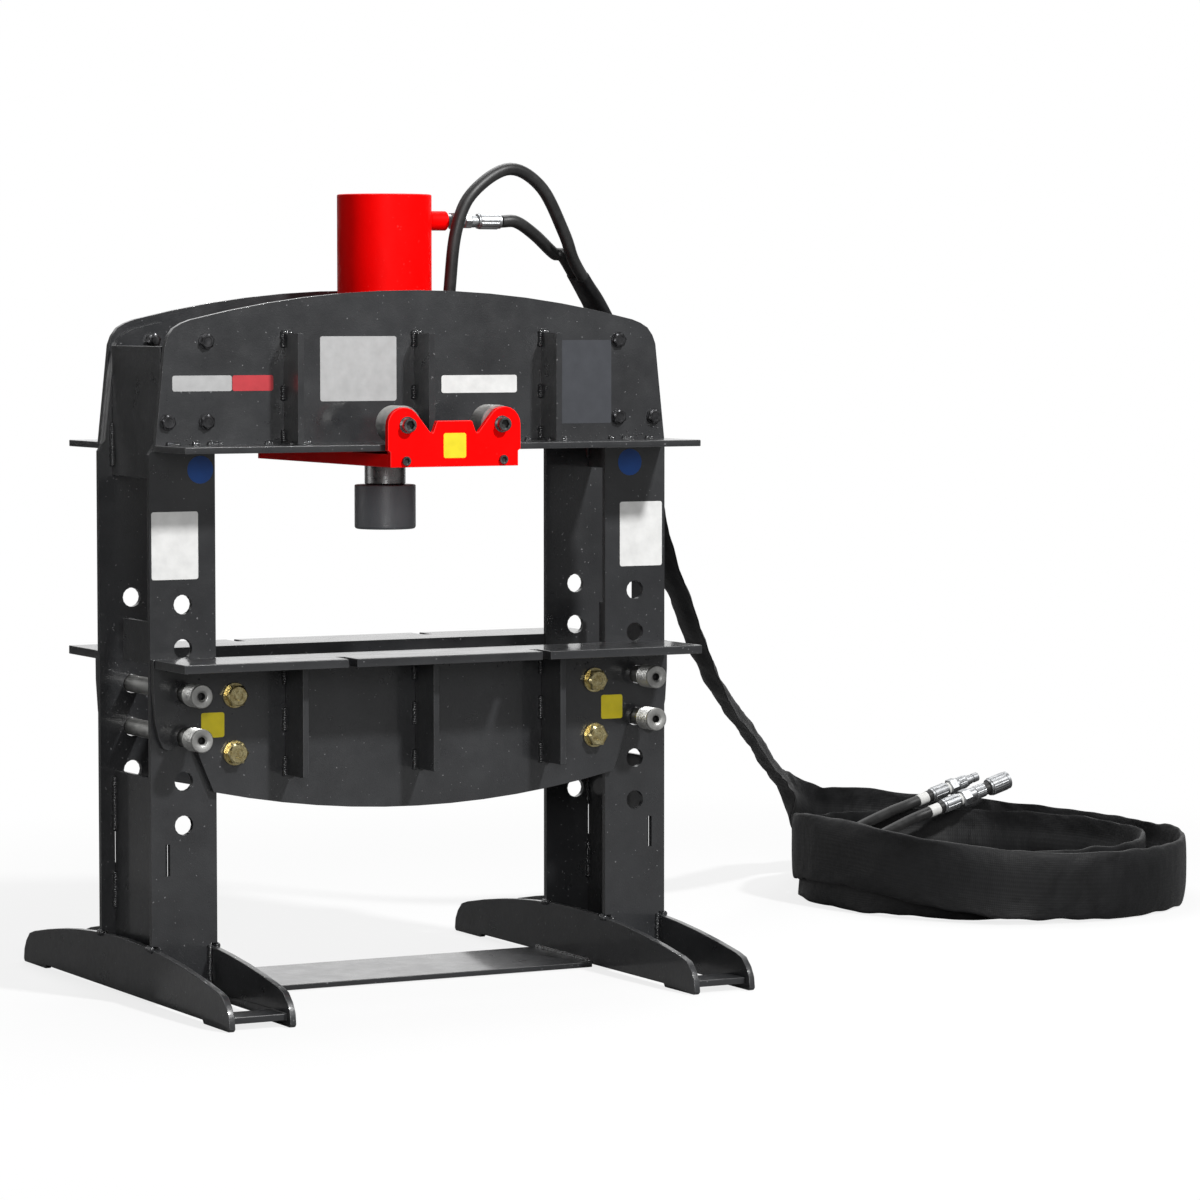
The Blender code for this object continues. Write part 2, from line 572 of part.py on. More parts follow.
def coilPoint(turn, share, z):
    angle = COIL_START - 2 * math.pi * turn
    x, y = COIL_HALF[0] * share * math.cos(angle), COIL_HALF[1] * share * math.sin(angle)
    c, s = math.cos(COIL_TWIST), math.sin(COIL_TWIST)
    return Vector((COIL_CENTRE[0] + x * c - y * s, COIL_CENTRE[1] + x * s + y * c, z))


def coilShare(turn):
    """Each turn lies inside the one before, except that the sleeve's end slips out under the first turn."""
    return COIL_OUT - COIL_PITCH * turn - 0.100 * easing(0.82, 0.96, turn) + 0.135 * easing(1.50, 1.74, turn)


def coilCentre(turn):
    return coilPoint(turn, coilShare(turn), COIL_FLOOR + SLEEVE_W / 2 + coilLift(turn))


def sleeveParts(cloth):
    up, side = Vector((0, 0, 1)), Vector((0, 1, 0))
    hang = [Vector(p) for p in DRAPE]
    fine = smooth(hang + [coilCentre(0.0), coilCentre(0.05)])
    line = evenly(fine[:-8], 42)
    square = (coilPoint(0.0, 1.0, 0) - Vector((*COIL_CENTRE, 0))).cross(up).normalized()
    line[-1] = coilCentre(0.0) - square * 0.004
    wide = []
    for p in line:
        level = side.lerp(Vector((0.40, 0.92, 0)), easing(0.53, 0.78, p.x))
        span = HANG_W + (SLEEVE_W - HANG_W) * easing(1.02, 1.19, p.x)
        wide.append(level.lerp(up, easing(1.02, 1.19, p.x)).normalized() * span)
    flatTube("hose_sleeve", line, wide, square, cloth)
    mouth, away = line[0], (line[1] - line[0]).normalized()
    across = (side - away * side.dot(away)).normalized()
    sections = []
    count = 40
    half = SLEEVE_T / 2 / COIL_HALF[0]
    for k in range(count):
        turn = 0.9992 * k / (count - 1)
        outer = coilShare(turn) + half
        double = easing(0.22, 0.30, turn) - easing(0.70, 0.76, turn)
        inner = coilShare(turn) + (coilShare(turn + 1) - coilShare(turn)) * double - half
        top = COIL_FLOOR + SLEEVE_W + coilLift(turn)
        sections.append([coilPoint(turn, outer, COIL_FLOOR), coilPoint(turn, outer, top),
                         coilPoint(turn, inner, top), coilPoint(turn, inner, COIL_FLOOR)])
    loft("hose_sleeve_coil", sections, cloth, ring=True, dy=0.0, smooth=False)
    return mouth, away, across


def hoseParts(rubber, cloth, silver):
    mouth, away, across = sleeveParts(cloth)
    for name, route, way in (("hose_a", HOSE_A, 1), ("hose_b", HOSE_B, -1)):
        end = mouth + across * (way * 0.0195) - away * 0.0015
        hose(name, route + [tuple(end - away * 0.030), tuple(end)], rubber)
    ways = {"a": Vector((0.960, 0.035, 0.277)), "b": Vector((0.958, 0.010, 0.285))}
    for tag, route in TAILS.items():
        way = ways[tag].normalized()
        hose("hose_tail_" + tag, route[:-1] + [tuple(Vector(route[-1]) - way * 0.030), route[-1]], rubber)
        coupler(tag, Vector(route[-1]) + way * 0.0015, way, silver)


def coupler(tag, base, way, silver):
    band = [(0.0, 0.0103), (0.0200, 0.0103), (0.0205, 0.0110), (0.0290, 0.0110), (0.0292, 0.0128),
            (0.0620, 0.0128), (0.0622, 0.0105), (0.0690, 0.0105)]
    if tag == "a":
        rest = [(0.0692, 0.0135, True), (0.0900, 0.0135, True), (0.0902, 0.0115), (0.1100, 0.0115),
                (0.1105, 0.0085), (0.1290, 0.0085), (0.1320, 0.0065)]
        turned("coupler_male", base, way, band + rest, silver, dy=0.0)
    else:
        rest = [(0.0692, 0.0135, True), (0.0940, 0.0135, True), (0.0942, 0.0120), (0.1290, 0.0120),
                (0.1295, 0.0165), (0.1680, 0.0165), (0.1700, 0.0150), (0.1700, 0.0095), (0.1560, 0.0085)]
        turned("coupler_female", base, way, band + rest, silver, dy=0.0)


def main():
    for obj in list(bpy.data.objects):
        bpy.data.objects.remove(obj, do_unlink=True)
    paint = makeMaterial("charcoal_paint", (0.055, 0.057, 0.060), 0.0, 0.45)
    red = makeMaterial("red_paint", (0.78, 0.008, 0.008), 0.0, 0.30)
    dark = makeMaterial("dark_steel", (0.050, 0.055, 0.062), 0.4, 0.45)
    steel = makeMaterial("bare_steel", (0.45, 0.45, 0.44), 1.0, 0.35)
    zinc = makeMaterial("yellow_zinc", (0.55, 0.45, 0.20), 1.0, 0.35)
    silver = makeMaterial("plated_fittings", (0.70, 0.71, 0.72), 1.0, 0.25)
    rubber = makeMaterial("black_rubber", (0.018, 0.018, 0.018), 0.0, 0.55)
    cloth = makeMaterial("black_nylon", (0.012, 0.012, 0.013), 0.0, 0.75)
    uprightParts(paint)
    beamParts(paint)
    tableParts(paint)
    tableBolts(zinc, paint)
    pinParts(steel)
    feetParts(paint)
    carriageParts(red, steel)
    cylinderParts(red, steel, dark)
    portParts(silver)
    hoseParts(rubber, cloth, silver)


main()
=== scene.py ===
# Hydraulic shop press: painted plates, hardware, cylinder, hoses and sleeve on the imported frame.
import json
import math
import random

import bmesh
import bpy
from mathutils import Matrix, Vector, noise

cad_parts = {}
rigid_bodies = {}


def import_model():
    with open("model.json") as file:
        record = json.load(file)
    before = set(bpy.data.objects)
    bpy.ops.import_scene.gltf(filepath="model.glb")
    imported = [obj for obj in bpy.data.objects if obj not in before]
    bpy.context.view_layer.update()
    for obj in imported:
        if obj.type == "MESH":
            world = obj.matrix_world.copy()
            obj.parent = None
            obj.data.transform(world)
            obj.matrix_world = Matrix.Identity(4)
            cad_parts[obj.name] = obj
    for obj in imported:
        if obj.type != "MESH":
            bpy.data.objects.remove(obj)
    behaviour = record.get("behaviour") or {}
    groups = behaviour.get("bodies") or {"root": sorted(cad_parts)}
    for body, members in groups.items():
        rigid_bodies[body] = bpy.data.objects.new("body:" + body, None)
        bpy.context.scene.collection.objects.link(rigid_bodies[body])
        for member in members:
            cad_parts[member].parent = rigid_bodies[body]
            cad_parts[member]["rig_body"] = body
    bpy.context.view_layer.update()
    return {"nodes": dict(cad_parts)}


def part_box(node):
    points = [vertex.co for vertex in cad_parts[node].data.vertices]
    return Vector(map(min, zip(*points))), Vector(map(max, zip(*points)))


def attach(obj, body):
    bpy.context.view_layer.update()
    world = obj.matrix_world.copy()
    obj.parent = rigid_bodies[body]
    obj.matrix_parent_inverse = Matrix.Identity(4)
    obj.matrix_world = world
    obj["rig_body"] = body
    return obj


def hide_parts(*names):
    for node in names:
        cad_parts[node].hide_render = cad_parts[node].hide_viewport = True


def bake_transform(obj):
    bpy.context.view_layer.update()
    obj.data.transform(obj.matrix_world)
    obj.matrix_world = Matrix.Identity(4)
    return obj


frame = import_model()
nodes = frame["nodes"]
print("stage: frame loaded")

# camera, light and floor

cameraLook = {"place": (-2.897, -6.124, 0.996), "tilt": 86.346, "turn": -28.09, "lens": 136.38}
# brightness seen in reflections, by compass angle: 0 is behind the press, 90 on its hose side
lightLook = {
    "fill": 0.22, "fillLeft": 0.05, "gain": 1.8,
    "mirror": ((0, 0.56), (55, 0.56), (82, 0.07), (112, 0.08), (140, 0.15), (195, 0.15), (235, 0.04),
               (276, 0.04), (288, 0.95), (312, 0.95), (322, 0.03), (348, 0.03), (356, 0.56)),
    "key": {"place": (1.5, -4.1, 4.4), "size": 0.5, "power": 360},
    "front": {"place": (-1.7, -4.5, 1.7), "size": 1.5, "power": 75},
    "top": {"place": (0.8, 1.6, 3.6), "size": 2.6, "power": 60},
}


def makeCamera():
    data = bpy.data.cameras.new("camera")
    data.lens = cameraLook["lens"]
    data.sensor_width = 36
    camera = bpy.data.objects.new("camera", data)
    camera.location = cameraLook["place"]
    camera.rotation_euler = (math.radians(cameraLook["tilt"]), 0, math.radians(cameraLook["turn"]))
    bpy.context.scene.collection.objects.link(camera)
    bpy.context.scene.camera = camera


def addNode(tree, kind, inputs=None, **settings):
    made = tree.nodes.new(kind)
    for key, value in settings.items():
        setattr(made, key, value)
    for key, value in (inputs or {}).items():
        if isinstance(value, bpy.types.NodeSocket):
            tree.links.new(value, made.inputs[key])
        else:
            made.inputs[key].default_value = value
    return made


def ramp(tree, factor, stops):
    made = addNode(tree, "ShaderNodeValToRGB", {"Fac": factor})
    elements = made.color_ramp.elements
    while len(elements) < len(stops):
        elements.new(0.5)
    for element, (place, colour) in zip(elements, stops):
        element.position = place
        element.color = (*colour, 1.0) if isinstance(colour, tuple) else (colour, colour, colour, 1.0)
    return made.outputs["Color"]


def calc(tree, operation, *values):
    return addNode(tree, "ShaderNodeMath", dict(enumerate(values)), operation=operation).outputs[0]


def makeLights():
    target = Vector((0, 0, 0.6))
    for name in ("key", "front", "top"):
        look = lightLook[name]
        data = bpy.data.lights.new(name, "AREA")
        data.shape = "DISK"
        data.size = look["size"]
        data.energy = look["power"]
        lamp = bpy.data.objects.new(name, data)
        lamp.location = look["place"]
        lamp.rotation_euler = (target - lamp.location).to_track_quat("-Z", "Y").to_euler()
        bpy.context.scene.collection.objects.link(lamp)
    world = bpy.data.worlds.new("studio")
    bpy.context.scene.world = world
    world.use_nodes = True
    tree = world.node_tree
    tree.nodes.clear()
    way = addNode(tree, "ShaderNodeTexCoord").outputs["Generated"]
    split = addNode(tree, "ShaderNodeSeparateXYZ", {"Vector": way})
    angle = calc(tree, "ARCTAN2", split.outputs["X"], split.outputs["Y"])
    share = calc(tree, "FRACT", calc(tree, "DIVIDE", angle, 2 * math.pi))
    studio = ramp(tree, share, [(degrees / 360, value) for degrees, value in lightLook["mirror"]])
    left = addNode(tree, "ShaderNodeMapRange", {
        "Value": split.outputs["X"], "From Min": -0.6, "From Max": 0.3,
        "To Min": lightLook["fillLeft"], "To Max": lightLook["fill"]}).outputs["Result"]
    path = addNode(tree, "ShaderNodeLightPath").outputs
    studio = calc(tree, "MULTIPLY", studio, lightLook["gain"])
    gloss = calc(tree, "MULTIPLY", path["Is Glossy Ray"], studio)
    seen = calc(tree, "MAXIMUM", path["Is Camera Ray"], path["Is Transmission Ray"])
    diffuse = calc(tree, "MULTIPLY", path["Is Diffuse Ray"], left)
    total = calc(tree, "MAXIMUM", calc(tree, "MAXIMUM", seen, gloss), diffuse)
    back = addNode(tree, "ShaderNodeBackground", {"Color": (1, 1, 1, 1), "Strength": total})
    out = addNode(tree, "ShaderNodeOutputWorld")
    tree.links.new(back.outputs[0], out.inputs["Surface"])


# the floor fades into the white background between these distances from the middle of the press and its coil
floorLook = {"middle": (0.6, 0.1, 0.0), "fadeFrom": 1.1, "fadeTo": 2.3,
             "glow": 0.8, "tone": 0.86, "bounce": 0.22}


def makeFloor():
    mesh = bpy.data.meshes.new("floor")
    mesh.from_pydata([(-14, -12, 0), (16, -12, 0), (16, 22, 0), (-14, 22, 0)], [], [(0, 1, 2, 3)])
    floor = bpy.data.objects.new("floor", mesh)
    floor.location.z = -0.0006
    bpy.context.scene.collection.objects.link(floor)
    mat = bpy.data.materials.new("floorWhite")
    mat.use_nodes = True
    tree = mat.node_tree
    tree.nodes.clear()
    path = addNode(tree, "ShaderNodeLightPath").outputs
    bounced = calc(tree, "MAXIMUM", path["Is Glossy Ray"], path["Is Diffuse Ray"])
    tone = ramp(tree, bounced, [(0.0, floorLook["tone"]), (1.0, floorLook["bounce"])])
    plain = addNode(tree, "ShaderNodeBsdfDiffuse", {"Color": tone})
    glow = addNode(tree, "ShaderNodeEmission", {"Color": (1, 1, 1, 1), "Strength": 1.0})
    spot = addNode(tree, "ShaderNodeTexCoord").outputs["Object"]
    reach = addNode(tree, "ShaderNodeVectorMath", {0: spot, 1: floorLook["middle"]}, operation="DISTANCE")
    fade = addNode(tree, "ShaderNodeMapRange", {
        "Value": reach.outputs["Value"], "From Min": floorLook["fadeFrom"], "From Max": floorLook["fadeTo"],
        "To Min": floorLook["glow"], "To Max": 1.0}, interpolation_type="SMOOTHSTEP")
    share = calc(tree, "MULTIPLY", path["Is Camera Ray"], fade.outputs["Result"])
    mix = addNode(tree, "ShaderNodeMixShader", {0: share, 1: plain.outputs[0], 2: glow.outputs[0]})
    out = addNode(tree, "ShaderNodeOutputMaterial")
    tree.links.new(mix.outputs[0], out.inputs["Surface"])
    mesh.materials.append(mat)


makeCamera()
makeLights()
makeFloor()
bpy.context.scene.view_settings.view_transform = "Standard"
print("stage: camera and light")

# finishes

# each look's colour for the small lighter specks is a painted glint, mixed into the base colour
charcoalLook = {"deep": (0.0175, 0.018, 0.0195), "pale": (0.026, 0.027, 0.029), "fleck": (0.16, 0.16, 0.165),
                "rough": (0.27, 0.42), "peel": 420.0, "peelHeight": 0.00035, "wave": 60.0, "waveHeight": 0.0009}
edgeLook = {**charcoalLook, "deep": (0.03, 0.031, 0.032), "pale": (0.05, 0.051, 0.053), "rough": (0.24, 0.38)}
weldPaintLook = {**charcoalLook, "rough": (0.1, 0.2), "wave": 260.0, "waveHeight": 0.0012}
noseLook = {**charcoalLook, "deep": (0.1, 0.107, 0.118), "pale": (0.13, 0.138, 0.148), "rough": (0.3, 0.46)}
redLook = {"deep": (0.86, 0.0006, 0.0006), "pale": (0.95, 0.001, 0.001), "fleck": (0.95, 0.02, 0.02),
           "rough": (0.42, 0.54), "peel": 380.0, "peelHeight": 0.00014, "wave": 45.0, "waveHeight": 0.0007}


def newMaterial(name):
    mat = bpy.data.materials.new(name)
    mat.use_nodes = True
    tree = mat.node_tree
    return mat, tree, tree.nodes["Principled BSDF"], addNode(tree, "ShaderNodeTexCoord").outputs["Object"]


def noiseAt(tree, where, scale, detail=2.0, rough=0.5):
    return addNode(tree, "ShaderNodeTexNoise", {"Vector": where, "Scale": scale, "Detail": detail,
                                                "Roughness": rough}).outputs["Fac"]


def bumpChain(tree, shader, layers):
    last = None
    for height, distance, strength in layers:
        made = addNode(tree, "ShaderNodeBump", {"Height": height, "Distance": distance, "Strength": strength})
        if last:
            tree.links.new(last.outputs["Normal"], made.inputs["Normal"])
        last = made
    tree.links.new(last.outputs["Normal"], shader.inputs["Normal"])


def paintMaterial(name, look, coat=0.0, shine=0.5):
    mat, tree, shader, where = newMaterial(name)
    broad = noiseAt(tree, where, 7.0, 4.0, 0.6)
    tint = ramp(tree, broad, [(0.36, look["deep"]), (0.64, look["pale"])])
    # small lighter specks mixed into the base colour: painted glints off the paint's fine texture
    glintNoise = noiseAt(tree, where, 210.0, 1.0)
    glintFlecks = ramp(tree, glintNoise, [(0.735, 0.0), (0.775, 1.0)])
    mix = addNode(tree, "ShaderNodeMix", data_type="RGBA")
    tree.links.new(glintFlecks, mix.inputs[0])
    tree.links.new(tint, mix.inputs[6])
    mix.inputs[7].default_value = (*look["fleck"], 1.0)
    tree.links.new(mix.outputs[2], shader.inputs["Base Color"])
    smear = noiseAt(tree, where, 22.0, 3.0, 0.65)
    low, high = look["rough"]
    tree.links.new(ramp(tree, smear, [(0.32, low), (0.68, high)]), shader.inputs["Roughness"])
    shader.inputs["Specular IOR Level"].default_value = shine
    shader.inputs["Coat Weight"].default_value = coat
    shader.inputs["Coat Roughness"].default_value = 0.1
    bumpChain(tree, shader, [(noiseAt(tree, where, look["wave"], 2.0), look["waveHeight"], 0.35),
                             (noiseAt(tree, where, look["peel"], 2.0, 0.6), look["peelHeight"], 0.8)])
    return mat


def metalMaterial(name, deep, pale, rough, scratch=900.0, height=0.00006, spread=40.0):
    mat, tree, shader, where = newMaterial(name)
    stain = noiseAt(tree, where, spread, 5.0, 0.62)
    tree.links.new(ramp(tree, stain, [(0.3, deep), (0.7, pale)]), shader.inputs["Base Color"])
    shader.inputs["Metallic"].default_value = 1.0
    wear = noiseAt(tree, where, spread * 3, 3.0)
    tree.links.new(ramp(tree, wear, [(0.3, rough[0]), (0.7, rough[1])]), shader.inputs["Roughness"])
    bumpChain(tree, shader, [(noiseAt(tree, where, scratch, 2.0), height, 0.7)])
    return mat


def rubberMaterial():
    mat, tree, shader, where = newMaterial("hoseRubber")
    dust = noiseAt(tree, where, 30.0, 4.0, 0.65)
    tree.links.new(ramp(tree, dust, [(0.35, (0.011, 0.011, 0.011)), (0.75, (0.026, 0.026, 0.026))]),
                   shader.inputs["Base Color"])
    tree.links.new(ramp(tree, dust, [(0.3, 0.36), (0.7, 0.52)]), shader.inputs["Roughness"])
    bumpChain(tree, shader, [(noiseAt(tree, where, 800.0, 2.0), 0.0002, 0.6)])
    return mat


def nylonMaterial():
    mat, tree, shader, _ = newMaterial("sleeveNylon")
    uv = addNode(tree, "ShaderNodeUVMap", uv_map="weave").outputs["UV"]
    thread = {"Vector": uv, "Scale": 95.0, "Distortion": 0.6, "Detail": 1.0}
    threads = [addNode(tree, "ShaderNodeTexWave", thread, bands_direction=way).outputs["Fac"] for way in "XY"]
    weave = calc(tree, "MULTIPLY", *threads)
    rumple = noiseAt(tree, uv, 26.0, 4.0, 0.6)
    tree.links.new(ramp(tree, rumple, [(0.3, (0.0045, 0.0046, 0.005)), (0.75, (0.01, 0.0102, 0.011))]),
                   shader.inputs["Base Color"])
    tree.links.new(ramp(tree, rumple, [(0.3, 0.5), (0.7, 0.68)]), shader.inputs["Roughness"])
    shader.inputs["Specular IOR Level"].default_value = 0.28
    shader.inputs["Sheen Weight"].default_value = 0.03
    shader.inputs["Sheen Roughness"].default_value = 0.4
    bumpChain(tree, shader, [(noiseAt(tree, uv, 17.0, 3.0, 0.55), 0.01, 0.45), (weave, 0.0004, 0.5)])
    return mat


def plainMaterial(name, colour, rough):
    mat, tree, shader, where = newMaterial(name)
    shade = noiseAt(tree, where, 55.0, 3.0)
    darker = tuple(c * 0.86 for c in colour)
    tree.links.new(ramp(tree, shade, [(0.3, darker), (0.7, colour)]), shader.inputs["Base Color"])
    shader.inputs["Roughness"].default_value = rough
    bumpChain(tree, shader, [(noiseAt(tree, where, 300.0, 2.0), 0.0001, 0.5)])
    return mat


finish = {
    "charcoal": paintMaterial("charcoalPaint", charcoalLook, coat=0.7),
    "edge": paintMaterial("charcoalEdge", edgeLook, coat=0.5),
    "weld": paintMaterial("weldPaint", weldPaintLook, coat=0.6),
    "red": paintMaterial("redEnamel", redLook, shine=0.05),
    "redEdge": paintMaterial("redEdge", {**redLook, "pale": (0.95, 0.03, 0.03)}, shine=0.25),
    "steel": metalMaterial("turnedSteel", (0.36, 0.36, 0.35), (0.56, 0.56, 0.54), (0.36, 0.5)),
    "rod": metalMaterial("groundRod", (0.26, 0.26, 0.26), (0.36, 0.36, 0.36), (0.24, 0.34), 500.0, 0.00003),
    "blackSteel": metalMaterial("blackScrews", (0.05, 0.05, 0.052), (0.12, 0.12, 0.125), (0.28, 0.42)),
    "screwSteel": metalMaterial("screwSteel", (0.16, 0.16, 0.16), (0.34, 0.34, 0.34), (0.22, 0.36)),
    "nose": paintMaterial("noseSteel", noseLook),
    "zinc": metalMaterial("yellowZinc", (0.36, 0.27, 0.1), (0.8, 0.72, 0.42), (0.22, 0.42),
                          700.0, 0.0001, 120.0),
    "plated": metalMaterial("platedFittings", (0.36, 0.37, 0.38), (0.58, 0.59, 0.6), (0.34, 0.48),
                            900.0, 0.000008, 70.0),
    "rubber": rubberMaterial(),
    "nylon": nylonMaterial(),
    "whiteBand": plainMaterial("whiteBand", (0.72, 0.72, 0.7), 0.45),
    # near-black for the insides of hex sockets and pin end holes: painted shade in the recesses
    "socket": plainMaterial("socketPaintedShade", (0.012, 0.012, 0.012), 0.6),
    "labelGrey": plainMaterial("labelGrey", (0.44, 0.44, 0.44), 0.38),
    "labelRed": plainMaterial("labelRed", (0.5, 0.045, 0.055), 0.38),
    "labelWhite": plainMaterial("labelWhite", (0.72, 0.72, 0.71), 0.36),
    "labelDark": plainMaterial("labelDark", (0.055, 0.058, 0.066), 0.34),
    "labelBlue": plainMaterial("labelBlue", (0.01, 0.065, 0.27), 0.34),
    "labelYellow": plainMaterial("labelYellow", (0.8, 0.66, 0.02), 0.36),
}
print("stage: finishes")

# mesh helpers


def place(name, mesh, body, slotName, replaced=()):
    obj = bpy.data.objects.new(name, mesh)
    bpy.context.scene.collection.objects.link(obj)
    if replaced:
        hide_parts(*replaced)
    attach(obj, body)
    return obj


def bodyOf(nodeName):
    return nodes[nodeName]["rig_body"]


def centre(nodeName):
    low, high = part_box(nodeName)
    return (low + high) / 2


def plateFace(which, end):
    low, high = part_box("%s_flange_%s" % (which, end))
    return high.y + 0.0003 if end == "front" else low.y - 0.0003


def camel(nodeName):
    first, *rest = nodeName.split("_")
    return first + "".join(word.capitalize() for word in rest)


def standFor(nodeName, mesh, slotName):
    return place(camel(nodeName), mesh, bodyOf(nodeName), slotName, [nodeName])


def turned(base, axis, rings, seg=48, **more):
    bm = bmesh.new()
    lathe(bm, base, axis, rings, seg, **more)
    return bm


def evaluated(obj):
    graph = bpy.context.evaluated_depsgraph_get()
    graph.update()
    return bpy.data.meshes.new_from_object(obj.evaluated_get(graph))


def plateMesh(nodeName, radius, mats):
    bm = bmesh.new()
    bm.from_mesh(nodes[nodeName].data)
    bmesh.ops.remove_doubles(bm, verts=bm.verts, dist=1e-5)
    bmesh.ops.dissolve_limit(bm, angle_limit=math.radians(0.6), verts=bm.verts, edges=bm.edges)
    mesh = bpy.data.meshes.new(nodeName)
    bm.to_mesh(mesh)
    bm.free()
    mesh.materials.clear()
    for mat in mats:
        mesh.materials.append(mat)
    mesh.shade_smooth()
    obj = bpy.data.objects.new("work", mesh)
    bpy.context.scene.collection.objects.link(obj)
    bevel = obj.modifiers.new("round", "BEVEL")
    bevel.width = radius
    bevel.segments = 2
    bevel.limit_method = "ANGLE"
    bevel.angle_limit = math.radians(32)
    bevel.material = 1
    normals = obj.modifiers.new("normals", "WEIGHTED_NORMAL")
    normals.weight = 80
    made = evaluated(obj)
    bpy.data.objects.remove(obj, do_unlink=True)
    return made


def finishPlates(names, radius, face, edge, slotName):
    for nodeName in names:
        standFor(nodeName, plateMesh(nodeName, radius, [finish[face], finish[edge]]), slotName)


plainRing = ("round", 0)
crimpLook = {"ridges": 24, "ridgeDepth": 0.0005, "flats": 8, "flatDepth": 0.0008}


def ringRadius(kind, r, t):
    if kind == "hex":
        return r / math.cos((t + math.pi / 6) % (math.pi / 3) - math.pi / 6)
    if kind == "ridge":
        return r - crimpLook["ridgeDepth"] * (0.5 + 0.5 * math.cos(crimpLook["ridges"] * t))
    if kind == "crimp":
        return r - (crimpLook["flatDepth"] if (crimpLook["flats"] * t / (2 * math.pi)) % 1 < 0.25 else 0.0)
    return r


# a ring is (distance along the axis, radius), then its outline and its material's number where they matter
def lathe(bm, base, axis, rings, seg=48, closed=False, capStart=True):
    rings = [ring + plainRing[len(ring) - 2:] for ring in rings]
    w = Vector(axis).normalized()
    u = Vector((0, 0, 1)) if abs(w.z) < 0.9 else Vector((1, 0, 0))
    u = (u - w * u.dot(w)).normalized()
    v = w.cross(u)
    loops = []
    for s, r, kind, _ in rings:
        loop = []
        for i in range(seg):
            t = 2 * math.pi * i / seg
            q = ringRadius(kind, r, t)
            loop.append(bm.verts.new(Vector(base) + w * s + u * (q * math.cos(t)) + v * (q * math.sin(t))))
        loops.append(loop)
    pairs = list(zip(loops, loops[1:], rings[1:]))
    if closed:
        pairs.append((loops[-1], loops[0], rings[0]))
    for a, b, ring in pairs:
        for i in range(seg):
            j = (i + 1) % seg
            bm.faces.new((a[i], a[j], b[j], b[i])).material_index = ring[3]
    if not closed:
        if capStart:
            bm.faces.new(list(reversed(loops[0]))).material_index = rings[0][3]
        bm.faces.new(loops[-1]).material_index = rings[-1][3]


def sections(parts, chamfer=0.0004):
    rings = []
    for s0, s1, r, *rest in parts:
        c = min(chamfer, (s1 - s0) / 3)
        rings += [(s, q, *rest) for s, q in ((s0, r - c), (s0 + c, r), (s1 - c, r), (s1, r - c))]
    return rings


def meshFrom(bm, name, mats, sharp=28):
    bmesh.ops.recalc_face_normals(bm, faces=bm.faces)
    mesh = bpy.data.meshes.new(name)
    bm.to_mesh(mesh)
    bm.free()
    for mat in mats:
        mesh.materials.append(mat)
    mesh.shade_smooth()
    mesh.set_sharp_from_angle(angle=math.radians(sharp))
    return mesh


def smoothLine(points, per=8):
    pts = [Vector(p) for p in points]
    pts = [pts[0] * 2 - pts[1]] + pts + [pts[-1] * 2 - pts[-2]]
    out = []
    for i in range(1, len(pts) - 2):
        a, b, c, d = pts[i - 1:i + 3]
        for k in range(per):
            t = k / per
            out.append(0.5 * ((2 * b) + (c - a) * t + (2 * a - 5 * b + 4 * c - d) * t * t
                              + (3 * b - a - 3 * c + d) * t ** 3))
    out.append(pts[-2])
    return out


def lineLength(points):
    return sum((b - a).length for a, b in zip(points, points[1:]))


def evenly(points, count):
    total = [0.0]
    for a, b in zip(points, points[1:]):
        total.append(total[-1] + (b - a).length)
    out, j = [], 0
    for k in range(count):
        s = total[-1] * k / (count - 1)
        while j < len(points) - 2 and total[j + 1] < s:
            j += 1
        t = (s - total[j]) / max(total[j + 1] - total[j], 1e-9)
        out.append(points[j].lerp(points[j + 1], min(max(t, 0.0), 1.0)))
    return out


# painted plates

plateLook = {"frameEdge": 0.0011, "carriageEdge": 0.0012}


def makePlates():
    sides, ends = ("left", "right"), ("front", "rear")
    frameNames = ["floor_tie_bar"]
    frameNames += ["upright_%s_%s" % (s, e) for s in sides for e in ends]
    frameNames += ["web_%s_%s" % (s, t) for s in sides for t in ("upper", "lower")]
    frameNames += ["%s_%s_%s" % (n, k, e) for n in ("beam", "table") for k in ("plate", "flange") for e in ends]
    frameNames += ["foot_%s_%s" % (s, t) for s in sides for t in ("outer", "inner")]
    finishPlates(frameNames, plateLook["frameEdge"], "charcoal", "edge", "frame_paint")
    redNames = ["carriage_base"] + ["carriage_plate_%s" % e for e in ends]
    finishPlates(redNames, plateLook["carriageEdge"], "red", "redEdge", "red_paint")


makePlates()
print("stage: plates")

# turned hardware

pinLook = {"grooves": 7, "grooveDepth": 0.0013, "socket": 0.0052}


def makePins():
    for side in ("left", "right"):
        for tag in ("upper", "lower"):
            nodeName = "pin_%s_%s" % (side, tag)
            low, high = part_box(nodeName)
            mid = (low + high) / 2
            g, r = (high.x - low.x) / 2, 0.0127
            length = high.y - low.y
            # the end hole takes material 1, the near-black painted shade
            rings = [(0.012, 0.0001, "round", 1), (0.012, pinLook["socket"], "round", 1),
                     (0.0026, pinLook["socket"] + 0.0003, "round", 1), (0.0002, 0.008),
                     (0.0, 0.0084), (0.0, g - 0.0012), (0.0012, g)]
            for k in range(pinLook["grooves"]):
                s = 0.0042 + k * 0.0044
                d = g - pinLook["grooveDepth"]
                rings += [(s, g), (s + 0.0007, d), (s + 0.0016, d),
                          (s + 0.0023, g)]
            rings += [(0.0363, g), (0.0375, g - 0.0012), (0.0376, r),
                      (length - 0.003, r), (length, r - 0.003)]
            bm = turned((mid.x, low.y, mid.z), (0, 1, 0), rings, 56)
            mesh = meshFrom(bm, nodeName, [finish["steel"], finish["socket"]])
            standFor(nodeName, mesh, "bare_steel")


tieBoltLook = {"head": 0.0125, "flat": 0.0143, "washer": 0.0183, "shank": 0.0093}


